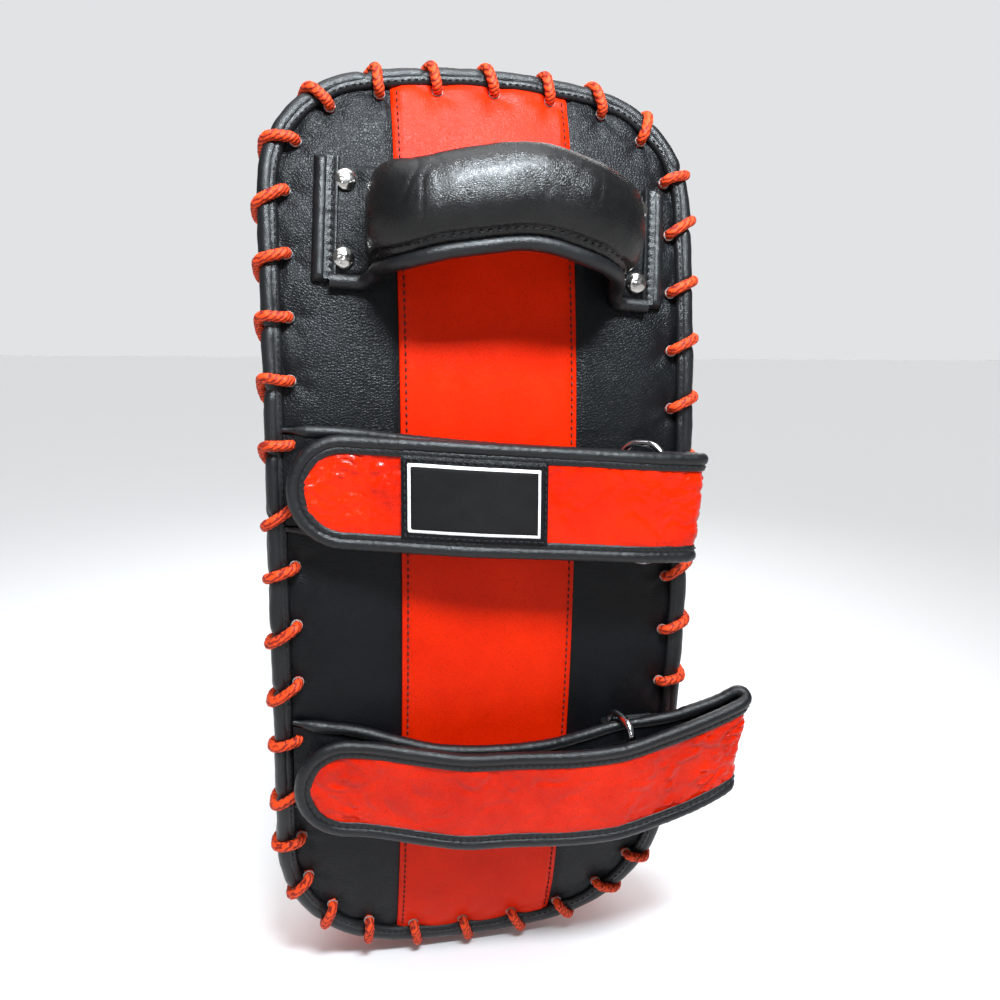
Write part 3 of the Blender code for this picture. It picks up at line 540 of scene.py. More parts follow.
def add_node(tree, kind, **inputs):
    """A node with its sockets set: a value, or a (node, output) pair that is linked."""
    made = tree.nodes.new(kind)
    for key, value in inputs.items():
        if not any(key == socket.name for socket in made.inputs):
            setattr(made, key, value)
    for key, value in inputs.items():
        for socket in made.inputs:
            if socket.name == key and socket.enabled:
                if isinstance(value, tuple) and len(value) == 2 and hasattr(value[0], "outputs"):
                    link(tree, value, socket)
                else:
                    socket.default_value = value
                break
    return made


def add_values(node, **values):
    """Sets plain values on a node's sockets, whose names have spaces for the underscores."""
    for key, value in values.items():
        node.inputs[key.replace("_", " ")].default_value = value


def new_finish(name, color, metallic=0.0, **shader_values):
    """A material, its shader with plain values on its own sockets, and its object coordinates."""
    made = bpy.data.materials.new(name)
    made.use_nodes = True
    made.diffuse_color = (*color, 1.0)
    tree = made.node_tree
    shader = tree.nodes["Principled BSDF"]
    add_values(shader, Base_Color=(*color, 1.0), Metallic=metallic, **shader_values)
    coordinates = tree.nodes.new("ShaderNodeTexCoord")
    return made, tree, shader, (coordinates, "Object")


def tone(tree, source, low, high, dark, light):
    """A colour between dark and light as a factor goes from low to high."""
    ramp = tree.nodes.new("ShaderNodeValToRGB")
    for stop, position, color in zip(ramp.color_ramp.elements, (low, high), (dark, light)):
        stop.position = position
        stop.color = (*color, 1.0)
    link(tree, source, ramp.inputs["Fac"])
    return ramp, "Color"


def level(tree, source, low, high, new_low, new_high):
    """A number between new_low and new_high as a factor goes from low to high."""
    made = tree.nodes.new("ShaderNodeMapRange")
    add_values(made, From_Min=low, From_Max=high, To_Min=new_low, To_Max=new_high)
    link(tree, source, made.inputs["Value"])
    return made, "Result"


def relief(tree, shader, layers):
    """Stacks bump layers of (source, depth in metres, strength) into the shader's normal."""
    last = None
    for source, depth, strength in layers:
        bump = tree.nodes.new("ShaderNodeBump")
        add_values(bump, Distance=depth, Strength=strength)
        link(tree, source, bump.inputs["Height"])
        if last:
            tree.links.new(last.outputs["Normal"], bump.inputs["Normal"])
        last = bump
    tree.links.new(last.outputs["Normal"], shader.inputs["Normal"])


def dress(tree, shader, color, gloss, layers):
    """Gives a shader its colour, its roughness and its relief."""
    link(tree, color, shader.inputs["Base Color"])
    link(tree, gloss, shader.inputs["Roughness"])
    relief(tree, shader, layers)


def leather(name, dark, light, rough, grain, depth, crease=0.0, crease_size=0.02, **values):
    """Coated leather: pebbled grain of the given size, cloudy colour, worn gloss and soft creases; the
    valleys between the pebbles are painted darker as shade.
    """
    made, tree, shader, spot = new_finish(name, light, **values)
    cloud = add_node(tree, "ShaderNodeTexNoise", Vector=spot, Scale=28.0, Detail=5.0, Roughness=0.6)
    pebble = add_node(
        tree, "ShaderNodeTexVoronoi", Vector=spot, Scale=1.0 / grain, feature="DISTANCE_TO_EDGE"
    )
    pore = add_node(tree, "ShaderNodeTexNoise", Vector=spot, Scale=2.2 / grain, Detail=4.0)
    color = tone(tree, (cloud, "Fac"), 0.30, 0.72, dark, light)
    # painted shade: the colour is darkened to 0.72 in the valleys between the pebbles, where the
    # relief is lowest
    painted_valley_shade = tone(tree, (pebble, "Distance"), 0.0, 0.10, (0.72,) * 3, (1.0,) * 3)
    blend = add_node(tree, "ShaderNodeMix", data_type="RGBA", blend_type="MULTIPLY")
    blend.inputs[0].default_value = 1.0
    link(tree, color, blend.inputs[6])
    link(tree, painted_valley_shade, blend.inputs[7])
    worn = add_node(tree, "ShaderNodeTexNoise", Vector=spot, Scale=60.0, Detail=6.0, Roughness=0.7)
    gloss = level(tree, (worn, "Fac"), 0.3, 0.7, rough - 0.06, rough + 0.08)
    layers = [
        (level(tree, (pebble, "Distance"), 0.0, 0.28, 0.0, 1.0), depth, 0.55),
        ((pore, "Fac"), depth * 0.45, 0.5),
    ]
    if crease:
        fold = add_node(tree, "ShaderNodeTexNoise", Vector=spot, Scale=1.0 / crease_size)
        add_values(fold, Detail=5.0, Roughness=0.55, Distortion=0.8)
        layers.insert(0, ((fold, "Fac"), crease, 0.7))
    dress(tree, shader, (blend, 2), gloss, layers)
    return made


def thread(name, dark, light, pitch):
    """Spun thread: fine slanted strands with a soft sheen, painted darker in the grooves between them
    as shade.
    """
    made, tree, shader, spot = new_finish(
        name, light, Sheen_Weight=0.03, Sheen_Roughness=0.5, Specular_IOR_Level=0.35
    )
    strand = add_node(
        tree, "ShaderNodeTexWave", Vector=spot, Scale=1.0 / pitch, bands_direction="DIAGONAL"
    )
    add_values(strand, Distortion=1.6, Detail=2.0)
    fibre = add_node(tree, "ShaderNodeTexNoise", Vector=spot, Scale=900.0, Detail=6.0)
    # painted shade: the colour follows the strands' wave, dark in the grooves between them and light
    # on their crowns
    color = tone(tree, (strand, "Fac"), 0.05, 0.55, dark, light)
    gloss = level(tree, (fibre, "Fac"), 0.3, 0.7, 0.54, 0.74)
    layers = [((strand, "Fac"), 0.00025, 0.7), ((fibre, "Fac"), 0.0002, 0.6)]
    dress(tree, shader, color, gloss, layers)
    return made


def fuzz(name, dark, light, cell, depth):
    """Hook-and-loop pile, open foam or webbing: small cells over a rough ground."""
    made, tree, shader, spot = new_finish(
        name, light, Sheen_Weight=0.3, Sheen_Roughness=0.6, Specular_IOR_Level=0.25
    )
    cells = add_node(tree, "ShaderNodeTexVoronoi", Vector=spot, Scale=1.0 / cell)
    grit = add_node(tree, "ShaderNodeTexNoise", Vector=spot, Scale=2.5 / cell, Detail=5.0)
    color = tone(tree, (cells, "Distance"), 0.1, 0.7, light, dark)
    gloss = level(tree, (grit, "Fac"), 0.3, 0.7, 0.78, 0.96)
    layers = [((cells, "Distance"), depth, 0.8), ((grit, "Fac"), depth, 0.5)]
    dress(tree, shader, color, gloss, layers)
    return made


def metal(name, color, dull, rough, dent):
    """Plated metal with faint handling marks and shallow dents."""
    made, tree, shader, spot = new_finish(name, color, metallic=1.0)
    marks = add_node(tree, "ShaderNodeTexNoise", Vector=spot, Scale=450.0, Detail=6.0, Roughness=0.7)
    dents = add_node(tree, "ShaderNodeTexNoise", Vector=spot, Scale=260.0, Detail=1.0)
    tint = tone(tree, (marks, "Fac"), 0.35, 0.62, dull, color)
    gloss = level(tree, (marks, "Fac"), 0.35, 0.75, rough * 0.7, rough * 1.6)
    layers = [((dents, "Fac"), dent, 0.6), ((marks, "Fac"), dent * 0.1, 0.4)]
    dress(tree, shader, tint, gloss, layers)
    return made


BLACK = leather(
    "black leather", (0.0022, 0.0028, 0.0036), (0.0052, 0.0062, 0.0077), rough=0.40,
    grain=0.00125, depth=0.00022, crease=0.0007, crease_size=0.024, Specular_IOR_Level=0.20,
)
FACE = leather(
    "black face leather", (0.0032, 0.0038, 0.0046), (0.0070, 0.0078, 0.0090), rough=0.38,
    grain=0.00115, depth=0.00018, crease=0.0005, crease_size=0.045, Specular_IOR_Level=0.34,
)
GRIP = leather(
    "glossy handle leather", (0.0036, 0.0035, 0.0036), (0.0080, 0.0076, 0.0076), rough=0.27,
    grain=0.00085, depth=0.00010, crease=0.0003, crease_size=0.016, Specular_IOR_Level=0.34,
    Coat_Weight=0.10, Coat_Roughness=0.20,
)
PIPING = leather(
    "black piping", (0.0045, 0.0050, 0.0060), (0.0105, 0.0115, 0.0130), rough=0.36,
    grain=0.0008, depth=0.00010, crease=0.0004, crease_size=0.006, Specular_IOR_Level=0.42,
)
RED = leather(
    "red vinyl", (0.63, 0.014, 0.0004), (0.77, 0.021, 0.0008), rough=0.34,
    grain=0.0009, depth=0.00009, crease=0.0006, crease_size=0.030, Specular_IOR_Level=0.09,
)
STRAP_RED = leather(
    "creased red strap vinyl", (0.56, 0.010, 0.0004), (0.86, 0.023, 0.0008), rough=0.22,
    grain=0.0010, depth=0.00006, crease=0.0013, crease_size=0.010, Specular_IOR_Level=0.08,
    Coat_Weight=0.22, Coat_Roughness=0.09,
)
WHITE = leather(
    "white vinyl", (0.90, 0.90, 0.89), (0.96, 0.96, 0.95), rough=0.42,
    grain=0.0011, depth=0.00009, crease=0.0003, crease_size=0.03,
    Coat_Weight=0.05, Coat_Roughness=0.3,
)
LABEL_FIELD = leather(
    "plain label field", (0.0080, 0.0076, 0.0078), (0.0125, 0.0119, 0.0122), rough=0.60,
    grain=0.0006, depth=0.00008, Specular_IOR_Level=0.12,
)
# The dark tones of the cord and the threads are painted shade in the grooves between their strands
CORD = thread("red lace cord", (0.20, 0.006, 0.0006), (0.80, 0.058, 0.0030), 0.0046)
FIBRE = fuzz("pale leather fibre", (0.16, 0.155, 0.15), (0.46, 0.45, 0.43), 0.0006, 0.0001)
RED_THREAD = thread("dark red thread", (0.040, 0.002, 0.001), (0.120, 0.005, 0.002), 0.0024)
BLACK_THREAD = thread("black thread", (0.0030, 0.0030, 0.0034), (0.0120, 0.0120, 0.0135), 0.0006)
PILE = fuzz("hook and loop pile", (0.004, 0.004, 0.005), (0.030, 0.030, 0.033), 0.0011, 0.0006)
WEBBING = fuzz("black webbing", (0.008, 0.008, 0.009), (0.030, 0.030, 0.032), 0.0018, 0.0005)
PLASTIC = fuzz(
    "moulded black plastic", (0.018, 0.018, 0.018), (0.035, 0.035, 0.035), 0.0008, 0.0001
)
NICKEL = metal("polished nickel", (0.80, 0.78, 0.74), (0.52, 0.50, 0.46), 0.17, 0.0007)
CHROME = metal("polished chrome", (0.84, 0.84, 0.86), (0.62, 0.62, 0.64), 0.10, 0.0002)


# The lace and where it goes through

# The visible part of one turn: its share of the turn, its inset and its depth.
LACE_TURN = [
    (-0.035, 0.0050, LACE_GUSSET_DEPTH + 0.0020), (-0.012, 0.0026, LACE_GUSSET_DEPTH + 0.0010),
    (0.005, 0.0006, LACE_GUSSET_DEPTH - 0.0008), (0.045, -0.0012, 0.0140), (0.090, -0.0026, 0.0108),
    (0.135, -0.0031, 0.0056), (0.180, -0.0031, 0.0012), (0.220, -0.0015, -0.0018),
    (0.258, 0.0014, -0.0031), (0.300, 0.0048, -0.0034), (0.340, 0.0076, -0.0032),
    (0.368, 0.0092, -0.0012), (0.384, 0.0098, 0.0045),
]


def wander(index, kind):
    """A small steady offset between -1 and 1, so that no two turns are alike."""
    return noise.noise(Vector((index * 3.7 + 0.5, kind * 11.3 + 0.2, 4.1)))


def lace_share(turn, across):
    """The share of the way round at a share of one turn of the lace."""
    return (turn + across) / LACE_TURNS + LACE_START


# The panels' holes, as x and s, and the gusset's, as shares of the way round
PANEL_HOLES = [RIM.at(lace_share(turn, 0.374), 0.0093) for turn in range(LACE_TURNS)]
GUSSET_HOLES = [lace_share(turn, -0.005) % 1.0 for turn in range(LACE_TURNS)]


def pucker(x, s):
    """How far the leather is drawn down beside the lace holes, with small folds that run into them."""
    reach = 0.0075
    drawn = 0.0
    for hole_x, hole_s in PANEL_HOLES:
        across, along = x - hole_x, s - hole_s
        if abs(across) > 3 * reach or abs(along) > 3 * reach:
            continue
        away = math.hypot(across, along)
        turn = math.atan2(along, across)
        fall = math.exp(-((away / reach) ** 2))
        folds = math.cos(5 * turn + hole_s * 90) * math.exp(-(((away - 0.007) / 0.005) ** 2))
        drawn += 0.0016 * fall + 0.00035 * folds
    return drawn


def make_lace():
    """The lace's turns over the rim, and the torn edges of the holes they go through."""
    groups = []
    for turn in range(LACE_TURNS):
        lean = 0.30 * wander(turn, 1)
        slack = 0.0003 * wander(turn, 2)
        points = []
        for share, inset, depth in LACE_TURN:
            middle = math.sin(math.pi * ease(share, -0.035, 0.388))
            way = lace_share(turn, share + lean * middle)
            points.append(rim_place(way, inset - slack * middle, depth))
        groups.append(sweep(resample(points, LACE_STEP), braid, 16))
    keep(rings_mesh("lace_cord", groups, CORD, sharp=80), "root", ["edge_lace"])
    groups = []
    for turn, (x, s) in enumerate(PANEL_HOLES):
        circle = []
        for step in range(16):
            around = 2 * math.pi * step / 16
            reach = 0.0024 + 0.0002 * wander(turn * 16 + step, 5)
            circle.append(place(x + reach * math.cos(around), s + reach * math.sin(around), 0.0001))
        sizes = [0.00035 + 0.00012 * wander(turn * 16 + step, 6) for step in range(16)]
        groups.append(sweep(circle, sizes, 6, looped=True))
    marks = rings_mesh("punched_hole_edges", groups, FIBRE, looped=True)
    keep(marks, "root")


def braid(index, angle):
    """The radius of a braided cord: two sets of strands that cross."""
    run = index * LACE_STEP * 2 * math.pi / BRAID_PITCH
    one = abs(math.sin(2 * angle + run))
    other = abs(math.sin(2 * angle - run))
    return LACE_RADIUS * (0.74 + 0.31 * max(one, other) ** 2)


def make_knot():
    """The overhand knot that ends the lace, with its two short tails against the gusset."""
    share = LACE_START - 0.5 / LACE_TURNS
    x, s = RIM.at(share, -0.0052)
    side = 1 if x > 0 else -1
    depth = LACE_GUSSET_DEPTH + 0.0068
    loop = []
    for step in range(37):
        turn = 2 * math.pi * step / 36 + 0.9
        ring = 0.0036 + 0.0020 * math.cos(1.5 * turn)
        across = ring * math.cos(turn)
        along = 1.25 * ring * math.sin(turn)
        out = 0.0016 * math.sin(1.5 * turn)
        loop.append(place(x + side * out, s + along, depth + across))
    groups = [sweep(resample(loop, 0.0008), lambda i, a: 0.86 * braid(i, a), 14)]
    for sign, reach in ((1, 0.024), (-1, 0.017)):
        tail = []
        for step in range(7):
            part = step / 6
            out = side * (0.0014 * (1 - part) - 0.0016 * part)
            sway = 0.004 * math.sin(2.4 * part + sign)
            down = depth + sign * (0.0015 + 0.006 * part) + sway
            tail.append(place(x + out, s - 0.003 - reach * part, down))
        line = resample(tail, 0.0008)
        groups.append(sweep(line, lambda i, a: 0.86 * braid(i, a), 14))
        end, before = line[-1], line[-4]
        along = (end - before).normalized()
        for strand in range(9):
            turn = 2 * math.pi * strand / 9
            spread = Vector((math.cos(turn), math.sin(turn * 1.7), math.sin(turn)))
            fray = [end + spread * 0.0011, end + along * 0.003 + spread * 0.0016]
            fray.append(end + along * (0.0055 + 0.001 * math.sin(5 * turn)) + spread * 0.0026)
            groups.append(sweep(resample(fray, 0.0015), 0.00028, 5))
    keep(rings_mesh("lace_end_knot", groups, CORD, sharp=80), "root", ["lace_knot"])


# The body of the pad


def make_bindings():
    """Two piped bindings round the rim, pinched where the lace crosses them."""
    count = 1300
    for name, depth, crossing, node in (
        ("back_piping", BACK_BINDING_DEPTH, 0.225, "rim_binding_back"),
        ("gusset_piping", GUSSET_BINDING_DEPTH, 0.105, "rim_binding_gusset"),
    ):
        centre = crossing / LACE_TURNS + LACE_START
        line, sizes = [], []
        for step in range(count):
            share = step / count
            phase = ((share - centre) * LACE_TURNS) % 1.0
            away = min(phase, 1 - phase)
            pinch = math.exp(-((away / 0.085) ** 2))
            lump = bumps((share * 90, depth * 300, 0.3), 1.0)
            inset = BINDING_INSET + 0.0009 * pinch - 0.0004 * lump
            line.append(rim_place(share, inset, depth + 0.00025 * lump))
            sizes.append(BINDING_RADIUS * (1.03 + 0.05 * lump - 0.24 * pinch))
        rings = sweep(line, sizes, 16, looped=True)
        keep(rings_mesh(name, [rings], PIPING, looped=True), "root", [node])


def make_binding_lip():
    """The stitched inner lip of the back binding, which lies on the panels."""
    count = 1300
    profile = [(0.0020, 0.0012), (0.0034, 0.0017), (0.0050, 0.0015)]
    profile += [(0.0060, 0.0006), (0.0063, -0.0006)]
    profile += [(inset, -0.0018) for inset, _ in profile[::-1]]
    sections, line, ups = [], [], []
    for step in range(count):
        section = []
        for inset, height in profile:
            x, s = RIM.at(step / count, inset)
            section.append(place(x, s, 0.6 * pucker(x, s) - height))
        sections.append(section)
        x, s = RIM.at(step / count, 0.0046)
        depth = 0.6 * pucker(x, s) - 0.0016
        line.append(place(x, s, depth))
        ups.append(place(x, s, depth - UP_STEP) - line[-1])
    lip = rings_mesh("back_binding_lip", [sections], PIPING, looped=True)
    keep(lip, "root")
    seam = stitches(
        "back_binding_stitching", line, ups, BLACK_THREAD, 0.0032, radius=0.00030, closed=True
    )
    keep(seam, "root")


def panel_height(x, s, edge, crown):
    """The back leather's height: crowned, let down to the binding and drawn in at the lace holes."""
    rise = crown * ease(edge, 0.0, 0.030)
    roll = -0.0012 * (1 - ease(edge, 0.0, 0.006))
    uneven = 0.00035 * bumps((x, s, 0.7), 0.045)
    return rise + roll + uneven - pucker(x, s)


def make_side_panel(name, side):
    """One black back panel, from beside the stripe out to the binding."""
    half = half_outline(PANEL_INSET, 30, 60, 170)
    inner = STRIPE_HALF + 0.0002
    top, bottom = [], []
    columns = 40
    for x_edge, s in half:
        if x_edge < inner + 0.002:
            continue
        over, under = [], []
        for step in range(columns + 1):
            share = 1 - (1 - step / columns) ** 1.15
            x = mix(inner, x_edge, share)
            edge = max(0.0, rim_distance(x, s) - PANEL_INSET)
            height = panel_height(side * x, s, edge, 0.0012)
            height -= 0.0010 * (1 - ease(x - inner, 0.0, 0.0035))
            over.append(place(side * x, s, -height))
            under.append(place(side * x, s, 0.0024))
        top.append(over)
        bottom.append(under)
    obj = slab(f"back_leather_{name}", top, bottom, BLACK)
    keep(obj, "root", [f"back_panel_{name}"])


def rim_distance(x, s):
    """How far a point of the flat drawing is inside the outline."""
    x, along = abs(x), abs(s)
    corner = TOP_CORNER if s > 0 else BOTTOM_CORNER
    across, centre, meet = corner_arc(corner)
    from_end = END_RADIUS - math.hypot(x, along - END_MIDDLE)
    if along <= centre:
        return min(HALF_WIDTH - x, from_end)
    if math.atan2(x, along - END_MIDDLE) < meet or x <= across:
        return from_end
    return corner - math.hypot(x - across, along - centre)


def make_stripe():
    """The raised red middle panel: its long edges are folded under and topstitched."""
    rows, columns = 300, 44
    top, bottom = [], []
    for row in range(rows + 1):
        over, under = [], []
        for step in range(columns + 1):
            share = 2 * step / columns - 1
            x = STRIPE_HALF * (0.35 * math.sin(share * math.pi / 2) + 0.65 * share)
            limit = end_s(x)
            s = mix(-limit[0], limit[1], row / rows)
            edge = rim_distance(x, s) - PANEL_INSET
            height = panel_height(x, s, max(0.0, edge), 0.0012) + 0.0009
            fold = STRIPE_HALF - abs(x)
            height -= 0.0014 * (1 - ease(fold, 0.0, 0.0022))
            height -= 0.0006 * math.exp(-(((fold - 0.0026) / 0.0008) ** 2))
            over.append(place(x, s, -height))
            under.append(place(x, s, 0.0020))
        top.append(over)
        bottom.append(under)
    stripe = slab("back_stripe", top, bottom, RED)
    keep(stripe, "root", ["back_panel_stripe", "back_foam"])
    for name, side in SIDES.items():
        line, ups = [], []
        x = side * (STRIPE_HALF - 0.0026)
        limit = end_s(x)
        for step in range(500):
            s = mix(-limit[0] + 0.004, limit[1] - 0.004, step / 499)
            height = panel_height(x, s, max(0.0, rim_distance(x, s) - PANEL_INSET), 0.0012) + 0.0003
            line.append(place(x, s, -height))
            ups.append(place(x, s, -height - UP_STEP) - line[-1])
        seam = stitches(f"stripe_stitching_{name}", line, ups, RED_THREAD, 0.0034, radius=0.00045)
        keep(seam, "root")


def end_s(x):
    """How far the panels reach along the pad at x: towards the bottom and towards the top."""
    found = []
    reach = END_RADIUS - PANEL_INSET
    for corner in (BOTTOM_CORNER, TOP_CORNER):
        across, centre, meet = corner_arc(corner)
        if abs(x) <= reach * math.sin(meet):
            found.append(END_MIDDLE + math.sqrt(reach**2 - x * x))
        else:
            inner = corner - PANEL_INSET
            found.append(centre + math.sqrt(max(0.0, inner**2 - (abs(x) - across) ** 2)))
    return found


def make_gusset():
    """The red side band: drawn in at the lace holes and turned under at its front seam."""
    count, rows = 1100, 22
    seam_depth = 0.0046
    sections, line, ups = [], [], []
    for step in range(count):
        share = step / count
        _, s_here = RIM.at(share, 0.0)
        front = gusset_depth(s_here) + 0.0006
        over, under = [], []
        phase = min(abs((share - hole + 0.5) % 1.0 - 0.5) for hole in GUSSET_HOLES) * RIM.length
        for row in range(rows + 1):
            part = row / rows
            depth = mix(GUSSET_START - 0.0010, front, part)
            x, s = RIM.at(share, 0.0)
            inset = 0.0012 - 0.0016 * math.sin(math.pi * part) ** 0.7
            hole = math.hypot(phase, depth - LACE_GUSSET_DEPTH)
            inset += 0.0016 * math.exp(-((hole / 0.0050) ** 2))
            inset += 0.0004 * bumps((x * 1.0, s, depth), 0.030)
            inset += 0.0016 * ease(front - depth, 0.0030, 0.0)
            inset += 0.0005 * math.exp(-(((front - depth - seam_depth) / 0.0011) ** 2))
            ripple = math.sin(share * RIM.length / GUSSET_PITCH * 2 * math.pi)
            inset += 0.00030 * ripple * ease(front - depth, 0.012, 0.003)
            over.append(rim_place(share, round(inset, 4), depth))
            turned = 0.0006 * ease(front - depth, 0.0030, 0.0)
            under.append(rim_place(share, 0.0050, depth + turned))
        line.append(rim_place(share, 0.0003, front - seam_depth))
        ups.append(rim_place(share, -0.002, front - seam_depth) - line[-1])
        sections.append(over + under[::-1])
    band_mesh = rings_mesh("side_band", [sections], RED, looped=True)
    keep(band_mesh, "root", ["gusset_band", "core_foam"])
    seam = stitches("side_band_stitching", line, ups, RED_THREAD, GUSSET_PITCH, sink=0.1, closed=True)
    keep(seam, "root")


CLOTH_FRAMES = 20


def settle(obj, pinned, pressure, cap):
    """Blows a closed cloth form up by simulation and applies it, with no vertex moved past cap."""
    mesh = obj.data
    before = [v.co.copy() for v in mesh.vertices]
    group = obj.vertex_groups.new(name="held")
    for vertex in mesh.vertices:
        group.add([vertex.index], pinned(vertex.co), "REPLACE")
    cloth = obj.modifiers.new("blown", "CLOTH")
    cloth.settings.vertex_group_mass = "held"
    cloth.settings.use_pressure = True
    cloth.settings.uniform_pressure_force = pressure
    cloth.settings.effector_weights.gravity = 0.0
    cloth.settings.tension_stiffness = cloth.settings.compression_stiffness = 18
    cloth.settings.bending_stiffness = 3
    cloth.settings.quality = 6
    cloth.collision_settings.use_collision = False
    scene = bpy.context.scene
    for number in range(1, CLOTH_FRAMES + 1):
        scene.frame_set(number)
    shaped = obj.evaluated_get(bpy.context.evaluated_depsgraph_get()).to_mesh()
    after = [v.co.copy() for v in shaped.vertices]
    obj.evaluated_get(bpy.context.evaluated_depsgraph_get()).to_mesh_clear()
    obj.modifiers.remove(cloth)
    scene.frame_set(1)
    for vertex, old, new in zip(mesh.vertices, before, after):
        move = new - old
        if move.length > cap:
            move *= cap / move.length
        vertex.co = old + move


def bake(obj, kind, **values):
    """Adds a modifier and applies it to the mesh."""
    modifier = obj.modifiers.new("step", kind)
    for key, value in values.items():
        setattr(modifier, key, value)
    shaped = obj.evaluated_get(bpy.context.evaluated_depsgraph_get())
    made = bpy.data.meshes.new_from_object(shaped)
    obj.modifiers.remove(modifier)
    old = obj.data
    obj.data = made
    bpy.data.meshes.remove(old)
    made.name = obj.name
    made.shade_smooth()


def near_seam(point):
    """1 where the strike cover is held: near its seam with the side band, and below it."""
    _, s, d = unplace(point)
    return 1.0 if d < gusset_depth(s) + 0.003 else 0.0


def make_cover():
    """The black strike face: a closed padded form that rolls over the foam's edge to its seam."""
    profile = [(0.0046, -0.0060), (0.0040, -0.0020), (0.0026, 0.0010)]
    for part in (0.10, 0.22, 0.36, 0.50, 0.64, 0.78, 0.90, 1.0):
        angle = math.pi / 2 * part
        inset = 0.0008 + CROWN_WIDTH * (1 - math.cos(angle))
        profile.append((inset, (CROWN_RISE - 0.0015) * math.sin(angle)))
    loops = []
    for inset, rise in profile:
        loop = []
        for step in range(300):
            x, s = RIM.at(step / 300, round(inset, 4))
            loop.append(place(x, s, gusset_depth(s) + rise))
        loops.append(loop)
    points = [p for loop in loops for p in loop]
    rows = [list(range(k * 300, (k + 1) * 300)) for k in range(len(loops))]
    faces = grid(rows, True)
    for row in (rows[0], rows[-1]):
        for k in range(150):
            left, right = row[k], row[-k - 1]
            if k + 1 < 150:
                faces.append((left, row[k + 1], row[-k - 2], right))
    cover = add_mesh("strike_face_cover", points, faces, FACE)
    bake(cover, "REMESH", mode="VOXEL", voxel_size=0.0055)
    settle(cover, near_seam, pressure=4.0, cap=0.005)
    bake(cover, "SUBSURF", levels=1)
    for vertex in cover.data.vertices:
        x, s, d = unplace(vertex.co)
        seam = d - gusset_depth(s)
        if seam < 0.0:
            continue
        angle = math.atan2(x, s)
        pull = math.exp(-((seam / 0.010) ** 2))
        fold = 0.0009 * pull * noise.noise(Vector((angle * 14, 3.1, 0.4)))
        soft = 0.0004 * noise.noise(Vector((x, s, 2.0)) / 0.070)
        vertex.co = place(x, s, d + fold + soft)
    cover.data.shade_smooth()
    keep(cover, "root", ["strike_cover", "strike_foam"])
    return cover


def make_disc(cover):
    """The white target, laid on the finished face, with a turned edge and a row of stitches."""
    tree = BVHTree.FromObject(cover, bpy.context.evaluated_depsgraph_get())

    def surface(x, s):
        start = place(x, s, 0.14)
        toward = (place(x, s, 0.0) - start).normalized()
        spot = tree.ray_cast(start, toward)[0]
        return spot if spot else place(x, s, gusset_depth(s) + CROWN_RISE), -toward

    steps, around = 44, 180
    profile, rings = [], []
    for step in range(steps + 1):
        share = step / steps
        radius = DISC_RADIUS * (1 - (1 - share) ** 1.4)
        rise = 0.0011 * math.sqrt(max(0.0, 1 - ease(radius, DISC_RADIUS - 0.0016, DISC_RADIUS) ** 2))
        rise -= 0.0004 * math.exp(-(((radius - DISC_RADIUS + DISC_SEAM_INSET) / 0.0009) ** 2))
        profile.append((max(radius, 0.0004), rise + 0.0001))
    profile.append((DISC_RADIUS, -0.0012))
    for radius, rise in profile:
        ring = []
        for k in range(around):
            turn = 2 * math.pi * k / around
            wobble = 1 + 0.003 * math.sin(3 * turn + 0.7) + 0.002 * math.sin(7 * turn)
            x = radius * wobble * math.cos(turn)
            s = DISC_HEIGHT + radius * wobble * math.sin(turn)
            spot, out = surface(x, s)
            ring.append(spot + out * (rise + 0.0001 * bumps((x, s, 9.0), 0.012)))
        rings.append(ring)
    keep(rings_mesh("white_target", [rings], WHITE), "root", ["target_disc"])
    line, ups = [], []
    for k in range(361):
        turn = 2 * math.pi * k / 360
        reach = DISC_RADIUS - DISC_SEAM_INSET
        spot, out = surface(reach * math.cos(turn), DISC_HEIGHT + reach * math.sin(turn))
        line.append(spot + out * 0.0008)
        ups.append(out)
    keep(stitches("target_stitching", line, ups, WHITE, pitch=0.0040), "root")


# The handle


def handle_stations(spacing):
    """Points of the handle's path as (x, h), each with the direction away from the pad."""
    half = smooth(HANDLE_HALF_PATH, spacing)
    path = half + [(-x, h) for x, h in half[-2::-1]]
    return [(spot, (-a, -b)) for spot, (a, b) in zip(path, normals(path))]


def grip_thickness(h):
    """Half the grip's thickness, which swells from its flat ends."""
    return mix(0.0040, GRIP_THICK, ease(h, 0.005, 0.027))


def handle_point(spot, normal, v, w):
    """A point of the handle's section: v along the pad, w outwards from the path."""
    along = v + grip_bow(*spot)
    return handle_place(spot[0] + normal[0] * w, along, -(spot[1] + normal[1] * w))


def grip_bow(x, h):
    """How far along the pad the raised grip bows away from the line between its ends."""
    upwards = 0.0058 * math.exp(-(((x + 0.0075) / 0.026) ** 2))
    downwards = 0.0026 * math.exp(-(((x - 0.043) / 0.012) ** 2))
    return ease(h, 0.002, 0.012) * (upwards - downwards)


def grip_half(x):
    """Half the grip's height, which is less in its middle than at its ends."""
    return GRIP_HALF - 0.0020 * ease(0.056 - abs(x), 0.0, 0.020)


def handle_unplace(point):
    """The x, v and height of a frame point in the handle's own drawing."""
    x, s, d = unplace(point)
    across, along = x - HANDLE_X, s - HANDLE_S
    scale = 1 + HANDLE_SLANT**2
    return (across + HANDLE_SLANT * along) / scale, (along - HANDLE_SLANT * across) / scale, -d


def near_tabs(point):
    """1 where the grip is held: near its riveted ends."""
    return 1.0 if handle_unplace(point)[2] < 0.008 else 0.0


